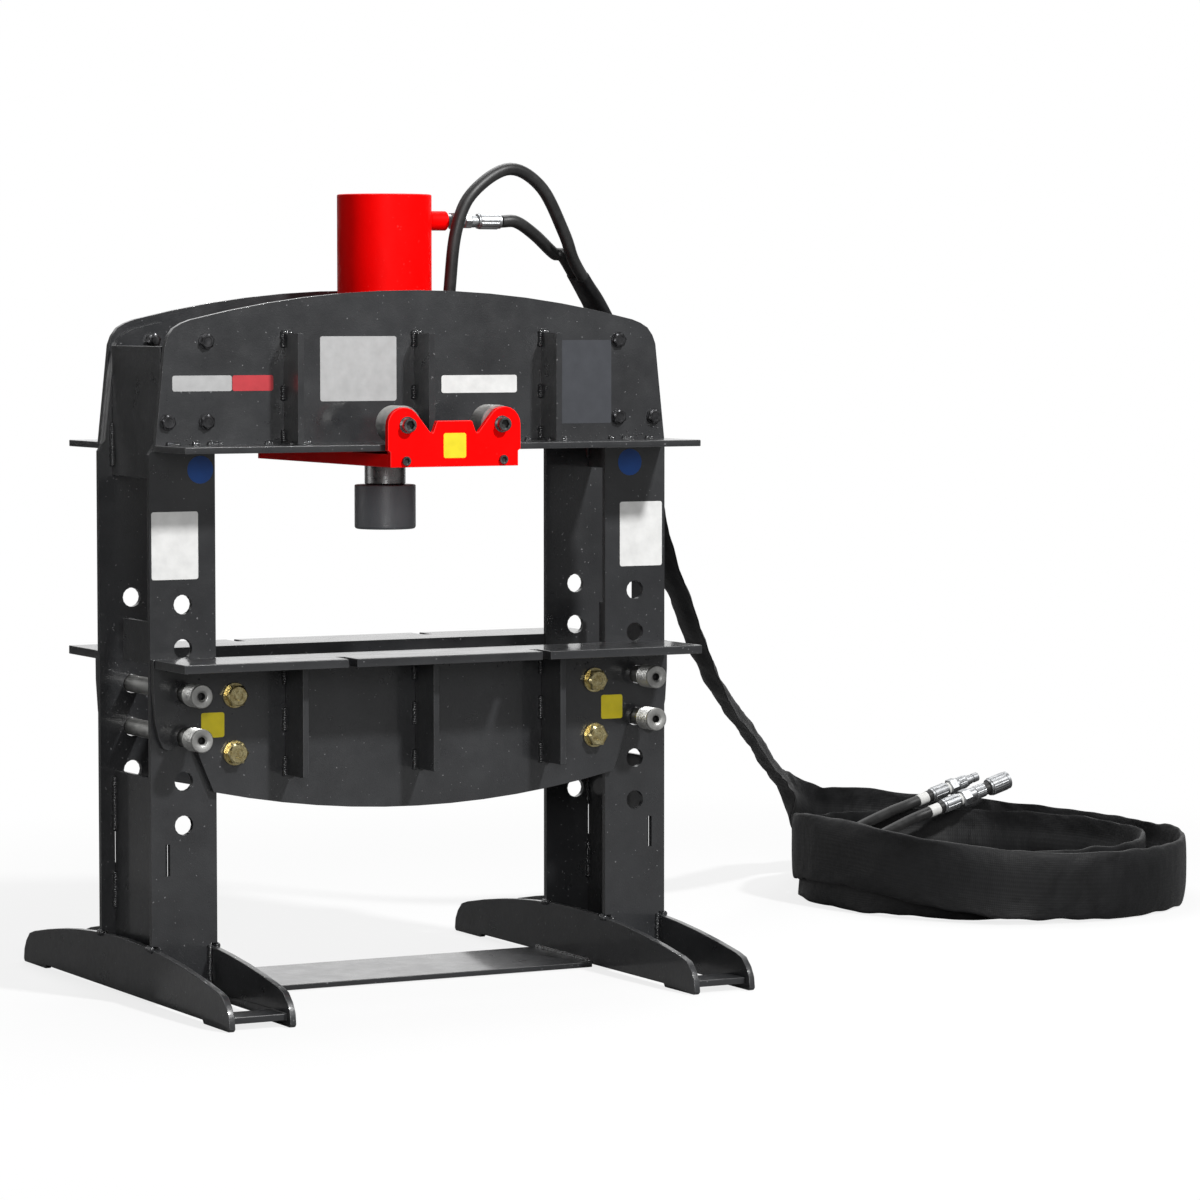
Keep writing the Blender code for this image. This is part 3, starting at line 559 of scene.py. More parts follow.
def makeTieBolts():
    look = tieBoltLook
    for side in ("left", "right"):
        for tag in ("upper", "lower"):
            nodeName = "table_bolt_%s_%s" % (side, tag)
            spacer = "table_spacer_%s_%s" % (side, tag)
            low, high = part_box(nodeName)
            mid = (low + high) / 2
            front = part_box("table_plate_front")[0].y - low.y
            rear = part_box("table_plate_rear")[1].y - low.y
            length = high.y - low.y
            f, r = look["flat"], look["shank"]
            rings = [(0.0008, 0.006), (0.0, 0.0068), (0.0, f - 0.0014),
                     (0.0018, f, "hex"), (front - 0.0034, f, "hex"), (front - 0.0032, f - 0.0008),
                     (front - 0.003, f - 0.0008)]
            rings += sections([(front - 0.0029, front - 0.0002, look["washer"])], 0.0005)
            rings += [(front, r), (rear, r)]
            rings += sections([(rear + 0.0003, rear + 0.0028, look["washer"])], 0.0005)
            rings += [(rear + 0.0031, f - 0.0012), (rear + 0.004, f, "hex"),
                      (rear + 0.0165, f, "hex"), (rear + 0.018, f - 0.0012), (rear + 0.0181, r)]
            s = rear + 0.0185
            while s < length - 0.0016:
                rings += [(s, r), (s + 0.0008, r - 0.0006)]
                s += 0.0016
            rings += [(length - 0.0005, r - 0.0003), (length, r - 0.0012)]
            bm = turned((mid.x, low.y, mid.z), (0, 1, 0), rings)
            standFor(nodeName, meshFrom(bm, nodeName, [finish["zinc"]]), "bolt_zinc")
            low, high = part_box(spacer)
            long, outer = high.y - low.y, (high.z - low.z) / 2
            rings = [(0, 0.0103), (0, outer), (long, outer), (long, 0.0103)]
            bm = turned((mid.x, low.y, mid.z), (0, 1, 0), rings, 40, closed=True)
            standFor(spacer, meshFrom(bm, spacer, [finish["charcoal"]]), "frame_paint")


def socketHead(bm, base, axis, radius, height, socket):
    # the socket's inside takes material 1, the near-black painted shade
    lathe(bm, base, axis, [(0, radius), (height - 0.001, radius),
                           (height, radius - 0.001), (height, socket + 0.0012),
                           (height - 0.0006, socket, "hex", 1), (height * 0.38, socket, "hex", 1),
                           (height * 0.34, 0.0002, "round", 1)], 48)


def makeRollers():
    for end, f in (("front", -1), ("rear", 1)):
        plateLow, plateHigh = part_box("carriage_plate_" + end)
        outside = plateLow.y if f < 0 else plateHigh.y
        for side in ("left", "right"):
            nodeName = "roller_%s_%s" % (end, side)
            low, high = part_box(nodeName)
            mid = (low + high) / 2
            wide, r = high.y - low.y, (high.z - low.z) / 2
            rings = [(0, 0.0086), (0, 0.015), (0.0012, 0.0156),
                     (0.0012, r - 0.0048), (0, r - 0.0042), (0, r - 0.0012),
                     (0.0012, r), (wide - 0.0012, r), (wide, r - 0.0012),
                     (wide, 0.0086)]
            bm = turned((mid.x, low.y, mid.z), (0, 1, 0), rings, 64, closed=True)
            standFor(nodeName, meshFrom(bm, nodeName, [finish["steel"]]), "bare_steel")
            bolt = "roller_bolt_%s_%s" % (end, side)
            low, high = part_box(bolt)
            inner = high.y if f < 0 else low.y
            reach = abs(outside - inner)
            bm = turned((mid.x, inner, mid.z), (0, f, 0), sections([(0.0, 0.0038, 0.012, "hex"),
                        (0.0039, reach + 0.0002, 0.0077)]))
            lathe(bm, (mid.x, outside + f * 0.0004, mid.z), (0, f, 0), sections([(0.0, 0.0014, 0.0122)]))
            socketHead(bm, (mid.x, outside + f * 0.0016, mid.z), (0, f, 0), 0.0102, 0.0104, 0.0056)
            standFor(bolt, meshFrom(bm, bolt, [finish["screwSteel"], finish["socket"]]), "bare_steel")


def makeRoundParts():
    y = centre("cylinder_barrel").y
    low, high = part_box("cylinder_barrel")
    r, tall = (high.y - low.y) / 2, high.z - low.z
    bm = turned((0, y, low.z), (0, 0, 1), [(0, 0.0535), (0, r), (tall - 0.0016, r),
          (tall - 0.0005, r - 0.0006, "round", 1), (tall, r - 0.0018, "round", 1), (tall, r - 0.012),
          (tall - 0.0012, r - 0.0132), (tall - 0.006, r - 0.014),
          (tall - 0.0066, r - 0.02), (tall - 0.0066, 0.001)], 128, capStart=False)
    upperLow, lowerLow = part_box("port_fitting_upper")[0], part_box("port_fitting_lower")[0]
    for z, reach in ((centre("port_fitting_upper").z, upperLow.x - 0.0003),
                     (lowerLow.z + 0.0118, lowerLow.x - 0.0003)):
        lathe(bm, (r - 0.004, y, z), (1, 0, 0), [(0, 0.0172), (0.004, 0.0168),
              (0.0062, 0.0149), (0.0078, 0.0145),
              (reach - r + 0.0024, 0.0145), (reach - r + 0.004, 0.0128)], 48)
    standFor("cylinder_barrel", meshFrom(bm, "barrel", [finish["red"], finish["redEdge"]]), "red_paint")
    low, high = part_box("cylinder_gland")
    g, tall = (high.y - low.y) / 2, high.z - low.z
    bm = turned((0, y, low.z), (0, 0, 1), [(0, 0.0311), (0, 0.035), (0.0014, 0.0362),
          (0.0014, 0.0385), (0, 0.0395), (0, g - 0.0022), (0.002, g),
          (tall, g), (tall, 0.0311)], 96, closed=True)
    standFor("cylinder_gland", meshFrom(bm, "gland", [finish["blackSteel"]]), "dark_steel")
    low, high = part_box("ram_rod")
    bm = turned((0, y, low.z), (0, 0, 1), [(0, 0.0285), (0.002, 0.0305), (0.347, 0.0305),
          (0.347, 0.0531), (high.z - low.z, 0.0531)], 96)
    standFor("ram_rod", meshFrom(bm, "rod", [finish["rod"]]), "ram_steel")
    low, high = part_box("ram_nose")
    tall, n = high.z - low.z, (high.y - low.y) / 2
    bm = turned((0, y, low.z), (0, 0, 1), [(0, 0.012), (0, n - 0.0034), (0.0008, n - 0.0014),
          (0.0034, n), (tall - 0.0014, n), (tall - 0.0004, n - 0.0006),
          (tall, n - 0.0016), (tall, 0.0306)], 96)
    standFor("ram_nose", meshFrom(bm, "nose", [finish["nose"]]), "dark_steel")


makePins()
makeTieBolts()
makeRollers()
makeRoundParts()
print("stage: turned parts")

# hydraulic fittings


def makeFittings():
    mats = [finish["plated"], finish["rubber"], finish["whiteBand"]]
    low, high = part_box("port_fitting_upper")
    y, z, x = (low.y + high.y) / 2, (low.z + high.z) / 2, low.x
    bm = turned((x, y, z), (1, 0, 0), sections([(0.0, 0.008, 0.0098), (0.0082, 0.02, 0.0119, "hex"),
          (0.0202, 0.0285, 0.01), (0.0287, 0.04, 0.0104, "hex"), (0.0402, 0.048, 0.0094),
          (0.0482, 0.0515, 0.0078), (0.0517, 0.0545, 0.0112),
          (0.0547, 0.085, 0.0121, "crimp"), (0.0852, high.x - low.x, 0.011)], 0.0006), 72)
    standFor("port_fitting_upper", meshFrom(bm, "upperFitting", mats), "fitting_plate")
    low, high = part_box("port_fitting_lower")
    z = low.z + 0.0118
    right = high.x - 0.0122
    bm = turned((low.x, y, z), (1, 0, 0), sections([(0.0, 0.004, 0.0098), (0.0042, 0.011, 0.0116, "hex")]))
    bend = [(low.x + 0.01, y, z), (right - 0.006, y, z), (right - 0.0018, y, z + 0.0018),
            (right, y, z + 0.006), (right, y, z + 0.013)]
    sweepRound(bm, smoothLine(bend, 4), 0.0088, 32)
    lathe(bm, (right, y, z + 0.011), (0, 0, 1), sections([
          (0.0, 0.011, 0.0118, "hex"), (0.0112, 0.015, 0.0098),
          (0.0152, 0.0175, 0.0112), (0.0177, 0.04, 0.0121, "crimp"),
          (0.0402, high.z - z - 0.011, 0.011)], 0.0006), 72)
    standFor("port_fitting_lower", meshFrom(bm, "lowerFitting", mats), "fitting_plate")


def sweepRound(bm, line, radius, seg):
    loops = []
    up = Vector((0, 1, 0))
    for i, p in enumerate(line):
        t = (line[min(i + 1, len(line) - 1)] - line[max(i - 1, 0)]).normalized()
        v = (up - t * up.dot(t)).normalized()
        u = v.cross(t)
        loops.append([bm.verts.new(p + v * (radius * math.cos(2 * math.pi * k / seg))
                                   + u * (radius * math.sin(2 * math.pi * k / seg))) for k in range(seg)])
    for a, b in zip(loops, loops[1:]):
        for k in range(seg):
            j = (k + 1) % seg
            bm.faces.new((a[k], a[j], b[j], b[k]))
    bm.faces.new(list(reversed(loops[0])))
    bm.faces.new(loops[-1])


makeFittings()
print("stage: fittings")

# hoses, sleeve and couplers

hoseLook = {"diameter": 0.0186}
sleeveLook = {"width": 0.114, "hang": 0.08, "thick": 0.024, "neck": 0.046, "rest": 0.0004,
              "steps": 560, "around": 36}
coilLook = {"centre": (1.304, 0.376), "half": (0.337, 0.397), "twist": -9, "start": 118, "out": 1.02,
            "pitch": 0.092, "turns": 1.86, "floor": 0.0015}
drape = [(0.342, 0.016, 1.048), (0.356, 0.024, 1.033), (0.392, 0.048, 0.996), (0.443, 0.08, 0.906),
         (0.485, 0.092, 0.809), (0.511, 0.1, 0.7), (0.549, 0.116, 0.604), (0.604, 0.152, 0.518),
         (0.681, 0.222, 0.428), (0.757, 0.29, 0.361), (0.852, 0.38, 0.299), (0.958, 0.495, 0.231),
         (1.041, 0.592, 0.189), (1.115, 0.686, 0.148), (1.157, 0.728, 0.125)]
hoseRoutes = {
    "A": [(0.1937, -0.018, 1.128), (0.22, -0.0165, 1.1275), (0.256, -0.006, 1.109), (0.3, 0.014, 1.081)],
    "B": [(0.1012, -0.018, 0.9235), (0.1008, -0.022, 0.96), (0.099, -0.036, 1.03), (0.105, -0.045, 1.112),
          (0.131, -0.045, 1.168), (0.197, -0.036, 1.206), (0.256, -0.028, 1.18), (0.299, -0.02, 1.112)],
}
tailRoutes = {
    "A": [(1.009, 0.385, 0.064), (1.035, 0.453, 0.066), (1.092, 0.534, 0.072), (1.14, 0.587, 0.078),
          (1.198, 0.628, 0.086), (1.254, 0.654, 0.099), (1.312, 0.669, 0.114), (1.373, 0.681, 0.128)],
    "B": [(1.013, 0.374, 0.036), (1.054, 0.437, 0.038), (1.12, 0.508, 0.044), (1.173, 0.562, 0.057),
          (1.238, 0.599, 0.078), (1.299, 0.617, 0.096), (1.363, 0.626, 0.114)],
}
couplerWays = {"A": (0.96, 0.035, 0.277), "B": (0.958, 0.01, 0.285)}


def ease(low, high, value):
    t = min(max((value - low) / (high - low), 0.0), 1.0)
    return t * t * (3 - 2 * t)


def coilLift(turn):
    return 0.045 * max(0.0, 1 - turn / 0.25) ** 1.5 + 0.042 * math.exp(-((turn - 0.79) / 0.13) ** 2)


def coilCentre(turn):
    look = coilLook
    share = look["out"] - look["pitch"] * turn - 0.1 * ease(0.82, 0.96, turn) + 0.135 * ease(1.5, 1.74, turn)
    angle = math.radians(look["start"]) - 2 * math.pi * turn
    x, y = look["half"][0] * share * math.cos(angle), look["half"][1] * share * math.sin(angle)
    c, s = math.cos(math.radians(look["twist"])), math.sin(math.radians(look["twist"]))
    z = look["floor"] + sleeveLook["width"] / 2 + coilLift(turn)
    return Vector((look["centre"][0] + x * c - y * s, look["centre"][1] + x * s + y * c, z))


def sleeveLine():
    turns = coilLook["turns"]
    coil = [coilCentre(turns * k / 51) for k in range(52)]
    return evenly(smoothLine([Vector(p) for p in drape] + coil, 10), sleeveLook["steps"])


def makeSleeve():
    line = sleeveLine()
    around, steps = sleeveLook["around"], len(line)
    step = lineLength(line) / (steps - 1)
    landed = lineLength(smoothLine(drape + [tuple(coilCentre(0.0))], 10))
    up, side = Vector((0, 0, 1)), Vector((0, 1, 0))
    bm = bmesh.new()
    uvLayer = bm.loops.layers.uv.new("weave")
    loops = []
    for i, p in enumerate(line):
        s = i * step
        t = (line[min(i + 1, steps - 1)] - line[max(i - 1, 0)]).normalized()
        hung = 1 - ease(1.02, 1.19, p.x) if s < landed - 0.02 else 0.0
        level = side.lerp(Vector((0.4, 0.92, 0)), ease(0.53, 0.78, p.x))
        v = level.lerp(up, 1 - hung)
        v = (v - t * v.dot(t)).normalized()
        u = v.cross(t)
        coiled = ease(landed - 0.25, landed + 0.05, s)
        wide = sleeveLook["width"] + (sleeveLook["hang"] - sleeveLook["width"]) * hung
        wide = sleeveLook["neck"] + (wide - sleeveLook["neck"]) * ease(0.0, 0.2, s)
        wide *= 1 - 0.07 * (0.5 + 0.5 * noise.noise(Vector((s * 9.0, 3.1, 0))))
        half = wide / 2
        loop = []
        for k in range(around):
            a = 2 * math.pi * k / around
            ca, sa = math.cos(a), math.sin(a)
            x = half * math.copysign(abs(ca) ** 0.72, ca)
            outward = sa > 0
            gather = ease(0.3, 0.0, s)
            hosesIn = math.exp(-((x + 0.01 * coiled) / 0.024) ** 4)
            deep = 0.0028 + (sleeveLook["thick"] / 2 - 0.0028) * hosesIn
            if outward:
                deep += (0.0085 - deep) * coiled
            deep += (0.0115 - deep) * gather
            y = deep * math.copysign(abs(sa) ** (0.85 - 0.35 * coiled * outward), sa)
            rough = 1.0 - 0.72 * coiled * outward
            crease = noise.noise(Vector((s * 16.0, x * 14.0, 1.7))) * 0.0045 * rough
            crease += noise.noise(Vector((s * 42.0 + x * 60.0, x * 22.0, 5.2))) * 0.002 * rough
            edge = abs(x) / half
            flop = noise.noise(Vector((s * 7.5, 8.3 if x > 0 else 2.1, 0.4))) * 0.011 * edge ** 3
            scallop = noise.noise(Vector((s * 22.0, 4.4 if x > 0 else 9.6, 2.0))) * 0.004 * edge ** 4
            calm = ease(0.0, 0.1, s)
            y += (crease + flop * (0.35 + 0.65 * coiled)) * calm
            x += (scallop - 0.002 * edge) * calm
            spot = p + v * x + u * y
            spot.z = max(spot.z, sleeveLook["rest"])
            loop.append(bm.verts.new(spot))
        loops.append(loop)
    girth = 2.1 * sleeveLook["width"]
    for i, (a, b) in enumerate(zip(loops, loops[1:])):
        for k in range(around):
            j = (k + 1) % around
            face = bm.faces.new((a[k], a[j], b[j], b[k]))
            corners = ((i, k), (i, k + 1), (i + 1, k + 1), (i + 1, k))
            for loop, (row, column) in zip(face.loops, corners):
                loop[uvLayer].uv = (row * step, column / around * girth)
    bm.faces.new(list(reversed(loops[0])))
    bm.faces.new(loops[-1])
    mesh = meshFrom(bm, "hoseSleeve", [finish["nylon"]], 60)
    obj = bpy.data.objects.new("hoseSleeve", mesh)
    bpy.context.scene.collection.objects.link(obj)
    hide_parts("hose_sleeve", "hose_sleeve_coil")
    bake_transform(obj)
    return line


def tubeMesh(name, line, radius, seg=28):
    bm = bmesh.new()
    bm.loops.layers.uv.new("weave")
    sweepRound(bm, line, radius, seg)
    return meshFrom(bm, name, [finish["rubber"]], 50)


def makeHoses(line):
    mouth, away = line[0], (line[2] - line[0]).normalized()
    side = Vector((0, 1, 0))
    across = (side - away * side.dot(away)).normalized()
    radius = hoseLook["diameter"] / 2
    for tag, way in (("A", 1), ("B", -1)):
        end = mouth + across * (way * 0.011) + away * 0.012
        route = hoseRoutes[tag] + [tuple(mouth + across * (way * 0.013) - away * 0.04), tuple(end)]
        smoothed = evenly(smoothLine(route, 12), 70)
        obj = place("hose" + tag, tubeMesh("hose" + tag, smoothed, radius), "carriage", "hose_rubber",
                    ["hose_" + tag.lower()])
    for tag in ("A", "B"):
        route = tailRoutes[tag]
        way = Vector(couplerWays[tag]).normalized()
        points = route[:-1] + [tuple(Vector(route[-1]) - way * 0.03), route[-1]]
        smoothed = evenly(smoothLine(points, 12) + [Vector(route[-1]) + way * 0.055], 70)
        obj = place("hoseTail" + tag, tubeMesh("hoseTail" + tag, smoothed, radius), "frame", "hose_rubber",
                    ["hose_tail_" + tag.lower()])
        coupler = makeCoupler(tag, Vector(route[-1]), way)


def makeCoupler(tag, base, way):
    parts = [(0.0, 0.02, 0.0102, "round", 2), (0.0202, 0.0285, 0.0104, "round", 1),
             (0.0287, 0.033, 0.0118), (0.0332, 0.06, 0.0127, "crimp"),
             (0.0602, 0.064, 0.0112), (0.0642, 0.069, 0.0104, "round", 2)]
    if tag == "A":
        parts += [(0.0692, 0.083, 0.0132, "hex"), (0.0832, 0.088, 0.0112),
                  (0.0882, 0.104, 0.0118, "ridge"), (0.1042, 0.109, 0.0104),
                  (0.1092, 0.117, 0.0084), (0.1172, 0.121, 0.007),
                  (0.1212, 0.1318, 0.0082)]
        name, nodeName = "couplerMale", "coupler_male"
    else:
        parts += [(0.0692, 0.085, 0.0132, "hex"), (0.0852, 0.098, 0.0116),
                  (0.0982, 0.118, 0.0124, "ridge"), (0.1182, 0.128, 0.011, "round", 1),
                  (0.1282, 0.132, 0.015), (0.1322, 0.164, 0.0164, "ridge"),
                  (0.1642, 0.17, 0.0158)]
        name, nodeName = "couplerFemale", "coupler_female"
    rings = sections(parts, 0.0006)
    if tag == "B":
        rings += [(0.17, 0.0102), (0.156, 0.0094, "round", 1), (0.156, 0.001, "round", 1)]
    bm = turned(base + way * 0.0005, way, rings, 96)
    mesh = meshFrom(bm, name, [finish["plated"], finish["rubber"], finish["whiteBand"]])
    return place(name, mesh, "frame", "fitting_plate", [nodeName])


makeHoses(makeSleeve())
print("stage: hoses and sleeve")

# bolts and welds from geometry nodes


def geometryTree(name, inputs):
    tree = bpy.data.node_groups.new(name, "GeometryNodeTree")
    tree.interface.new_socket("Geometry", in_out="INPUT", socket_type="NodeSocketGeometry")
    for label, kind in inputs:
        tree.interface.new_socket(label, in_out="INPUT", socket_type=kind)
    tree.interface.new_socket("Geometry", in_out="OUTPUT", socket_type="NodeSocketGeometry")
    return tree, tree.nodes.new("NodeGroupInput").outputs, tree.nodes.new("NodeGroupOutput").inputs


def scatterTree():
    tree, given, out = geometryTree("partsAtPoints", [("Part", "NodeSocketObject"),
                                                      ("Finish", "NodeSocketMaterial")])
    part = addNode(tree, "GeometryNodeObjectInfo", {"Object": given["Part"]})
    turn = addNode(tree, "GeometryNodeInputNamedAttribute", {"Name": "turn"}, data_type="FLOAT_VECTOR")
    size = addNode(tree, "GeometryNodeInputNamedAttribute", {"Name": "size"}, data_type="FLOAT_VECTOR")
    spread = addNode(tree, "GeometryNodeInstanceOnPoints", {
                     "Points": given["Geometry"], "Instance": part.outputs["Geometry"],
                     "Rotation": turn.outputs["Attribute"], "Scale": size.outputs["Attribute"]})
    real = addNode(tree, "GeometryNodeRealizeInstances", {"Geometry": spread.outputs["Instances"]})
    painted = addNode(tree, "GeometryNodeSetMaterial", {"Geometry": real.outputs["Geometry"],
                                                        "Material": given["Finish"]})
    tree.links.new(painted.outputs["Geometry"], out["Geometry"])
    return tree


def beadTree():
    tree, given, out = geometryTree("weldBeads", [("Pitch", "NodeSocketFloat"), ("Radius", "NodeSocketFloat"),
                                                  ("Seed", "NodeSocketInt"), ("Finish", "NodeSocketMaterial")])
    curve = addNode(tree, "GeometryNodeMeshToCurve", {"Mesh": given["Geometry"]})
    even = addNode(tree, "GeometryNodeResampleCurve",
                   {"Curve": curve.outputs["Curve"], "Length": given["Pitch"]},
                   mode="LENGTH")
    drop = addNode(tree, "GeometryNodeMeshUVSphere", {"Segments": 10, "Rings": 6, "Radius": given["Radius"]})
    size = addNode(tree, "FunctionNodeRandomValue", {"Min": (0.55, 0.85, 0.85), "Max": (0.75, 1.2, 1.15),
                                                      "Seed": given["Seed"]}, data_type="FLOAT_VECTOR")
    tangent = addNode(tree, "GeometryNodeInputTangent")
    aim = addNode(tree, "FunctionNodeAlignRotationToVector", {"Vector": tangent.outputs["Tangent"]}, axis="X")
    spread = addNode(tree, "GeometryNodeInstanceOnPoints", {
                     "Points": even.outputs["Curve"], "Instance": drop.outputs["Mesh"],
                     "Rotation": aim.outputs["Rotation"], "Scale": size.outputs["Value"]})
    real = addNode(tree, "GeometryNodeRealizeInstances", {"Geometry": spread.outputs["Instances"]})
    soft = addNode(tree, "GeometryNodeSetShadeSmooth", {"Geometry": real.outputs["Geometry"]})
    painted = addNode(tree, "GeometryNodeSetMaterial", {"Geometry": soft.outputs["Geometry"],
                                                        "Material": given["Finish"]})
    tree.links.new(painted.outputs["Geometry"], out["Geometry"])
    return tree


def grown(name, mesh, tree, values):
    obj = bpy.data.objects.new(name + "Work", mesh)
    bpy.context.scene.collection.objects.link(obj)
    mod = obj.modifiers.new("grow", "NODES")
    mod.node_group = tree
    for item in tree.interface.items_tree:
        if item.in_out == "INPUT" and item.name in values:
            mod[item.identifier] = values[item.name]
    made = evaluated(obj)
    bpy.data.objects.remove(obj, do_unlink=True)
    return made


def pointMesh(points):
    mesh = bpy.data.meshes.new("points")
    mesh.from_pydata([tuple(p) for p, _, _ in points], [], [])
    for label, pick in (("turn", 1), ("size", 2)):
        layer = mesh.attributes.new(label, "FLOAT_VECTOR", "POINT")
        for item, point in zip(layer.data, points):
            item.vector = point[pick]
    return mesh


beamBoltLook = {"flat": 0.0095, "head": 0.0078, "washer": 0.0118, "seed": 4,
                "places": ((0.334, 0.951), (0.334, 0.836), (0.394, 0.836))}
screwLook = {"radius": 0.0068, "height": 0.0046, "socket": 0.0034, "inset": 0.0285, "rise": 0.0092}


def makeBeamBolts(tree):
    look = beamBoltLook
    dice = random.Random(look["seed"])
    f, h = look["flat"], look["head"]
    bm = bmesh.new()
    lathe(bm, (0, 0, 0), (0, 0, 1), sections([(0.0, 0.0016, look["washer"])])
          + [(0.0017, f - 0.0004), (0.0022, f, "hex"), (h - 0.0012, f, "hex"), (h, f - 0.0012),
             (h, 0.0062), (h - 0.0005, 0.0056)], 36)
    head = bpy.data.objects.new("boltHead", meshFrom(bm, "boltHead", [finish["blackSteel"]]))
    bm = bmesh.new()
    lathe(bm, (0, 0, 0), (0, 0, 1), [(0.0, f - 0.001), (0.001, f, "hex"), (0.01, f, "hex"),
          (0.011, f - 0.001), (0.011, 0.0062), (0.015, 0.0062),
          (0.0158, 0.0054)], 36)
    nut = bpy.data.objects.new("nut", meshFrom(bm, "nut", [finish["blackSteel"]]))
    heads, nuts = [], []
    for end, sign in (("front", -1), ("rear", 1)):
        outer = plateFace("beam", end)
        low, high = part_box("upright_left_" + end)
        inner = high.y if sign < 0 else low.y
        for x, z in look["places"]:
            for hand in (-1, 1):
                turn = (sign * -math.pi / 2, dice.uniform(0, 1), 0)
                heads.append(((hand * x, outer, z), turn, (1, 1, 1)))
                if x < 0.37:
                    nuts.append(((hand * x, inner, z), (sign * math.pi / 2, dice.uniform(0, 1), 0), (1, 1, 1)))
    for name, points, part in (("beamBolts", heads, head), ("beamNuts", nuts, nut)):
        bpy.context.scene.collection.objects.link(part)
        mesh = grown(name, pointMesh(points), tree, {"Part": part, "Finish": finish["blackSteel"]})
        bpy.data.objects.remove(part, do_unlink=True)
        mesh.set_sharp_from_angle(angle=math.radians(28))
        place(name, mesh, "frame", "dark_steel")


def makeCarriageScrews():
    look = screwLook
    bm = bmesh.new()
    for end, f in (("front", -1), ("rear", 1)):
        low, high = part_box("carriage_plate_" + end)
        outside = low.y if f < 0 else high.y
        for hand in (-1, 1):
            x = hand * (high.x - look["inset"])
            socketHead(bm, (x, outside, low.z + look["rise"]), (0, f, 0),
                       look["radius"], look["height"], look["socket"])
    mesh = meshFrom(bm, "carriageScrews", [finish["screwSteel"], finish["socket"]])
    place("carriageScrews", mesh, "carriage", "dark_steel")


weldLook = {"pitch": 0.0024, "radius": 0.0046, "seed": 11, "besideRib": 0.0058,
            "ribs": (-0.2085, 0.0, 0.2085)}


def ribWelds(face, f, mid, spans, z, near, far):
    paths = []
    for hand in (-1, 1):
        x = mid + hand * weldLook["besideRib"]
        paths += [[(x, face, z0), (x, face, z1)] for z0, z1 in spans]
        paths.append([(x, face + f * near, z), (x, face + f * far, z)])
    return paths


def footTop(y):
    return 0.084 - 0.262 * y * y


def weldPaths():
    paths = []
    for end, f in (("front", -1), ("rear", 1)):
        face = plateFace("beam", end)
        low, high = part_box("beam_flange_" + end)
        top, ribTop = high.z, low.z + 0.1682
        spans = ((top + 0.002, top + 0.018), (0.868, 0.884), (ribTop - 0.018, ribTop + 0.001))
        for mid in weldLook["ribs"]:
            paths += ribWelds(face, f, mid, spans, top, 0.004, 0.03)
            paths.append([(mid - 0.006, face, ribTop + 0.001), (mid + 0.006, face, ribTop + 0.001)])
        for x0 in (-0.386, -0.35, -0.322, -0.237, -0.182, -0.028, 0.028, 0.182, 0.237, 0.322, 0.35, 0.386):
            half = 0.006 + 0.004 * math.sin(x0 * 91.0)
            paths.append([(x0 - half, face, top + 0.0005), (x0 + half, face, top + 0.0005)])
        face = plateFace("table", end)
        low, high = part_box("table_flange_" + end)
        under = high.z - 0.0125
        spans = ((under - 0.028, under - 0.003), (0.39, 0.42), (low.z, low.z + 0.026))
        for mid in weldLook["ribs"]:
            paths += ribWelds(face, f, mid, spans, under, 0.006, 0.04)
        for x0 in (-0.375, -0.25, -0.105, 0.105, 0.25, 0.375):
            paths.append([(x0 - 0.022, face, under - 0.0005), (x0 + 0.022, face, under - 0.0005)])
    for side, g in (("left", -1), ("right", 1)):
        upFront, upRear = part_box("upright_%s_front" % side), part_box("upright_%s_rear" % side)
        corners = (upFront[0].y, upRear[1].y)
        for x, out in ((g * 0.3176, -g * 0.0006), (g * 0.4184, g * 0.0006)):
            for y in corners:
                z = footTop(y)
                paths.append([(x + out, y + (0.012 if y < 0 else -0.012), z + 0.001), (x + out, y, z)])
        for y in corners:
            paths += [[(g * x, y, 0.03), (g * x, y, footTop(y))] for x in (0.329, 0.407)]
        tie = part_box("floor_tie_bar")
        paths.append([(g * 0.3172, tie[0].y + 0.01, tie[1].z), (g * 0.3172, tie[1].y - 0.01, tie[1].z)])
        for y in (upFront[1].y + 0.0005, upRear[0].y - 0.0005):
            for hand in (-1, 1):
                x = g * 0.3935 + hand * 0.0042
                paths += [[(x, y, z0), (x, y, z1)] for z0, z1 in ((0.235, 0.31), (0.12, 0.17), (0.77, 0.83))]
    return paths


def makeWelds(tree):
    look = weldLook
    verts, edges = [], []
    for path in weldPaths():
        start = len(verts)
        verts += path
        edges += [(start + i, start + i + 1) for i in range(len(path) - 1)]
    mesh = bpy.data.meshes.new("weldLines")
    mesh.from_pydata(verts, edges, [])
    made = grown("weldBeads", mesh, tree, {"Pitch": look["pitch"], "Radius": look["radius"],
                                           "Seed": look["seed"], "Finish": finish["weld"]})
    place("weldBeads", made, "frame", "frame_paint")


spatterLook = {"count": 420, "seed": 23, "places": (-0.375, 0.15, 0.285, 0.375)}


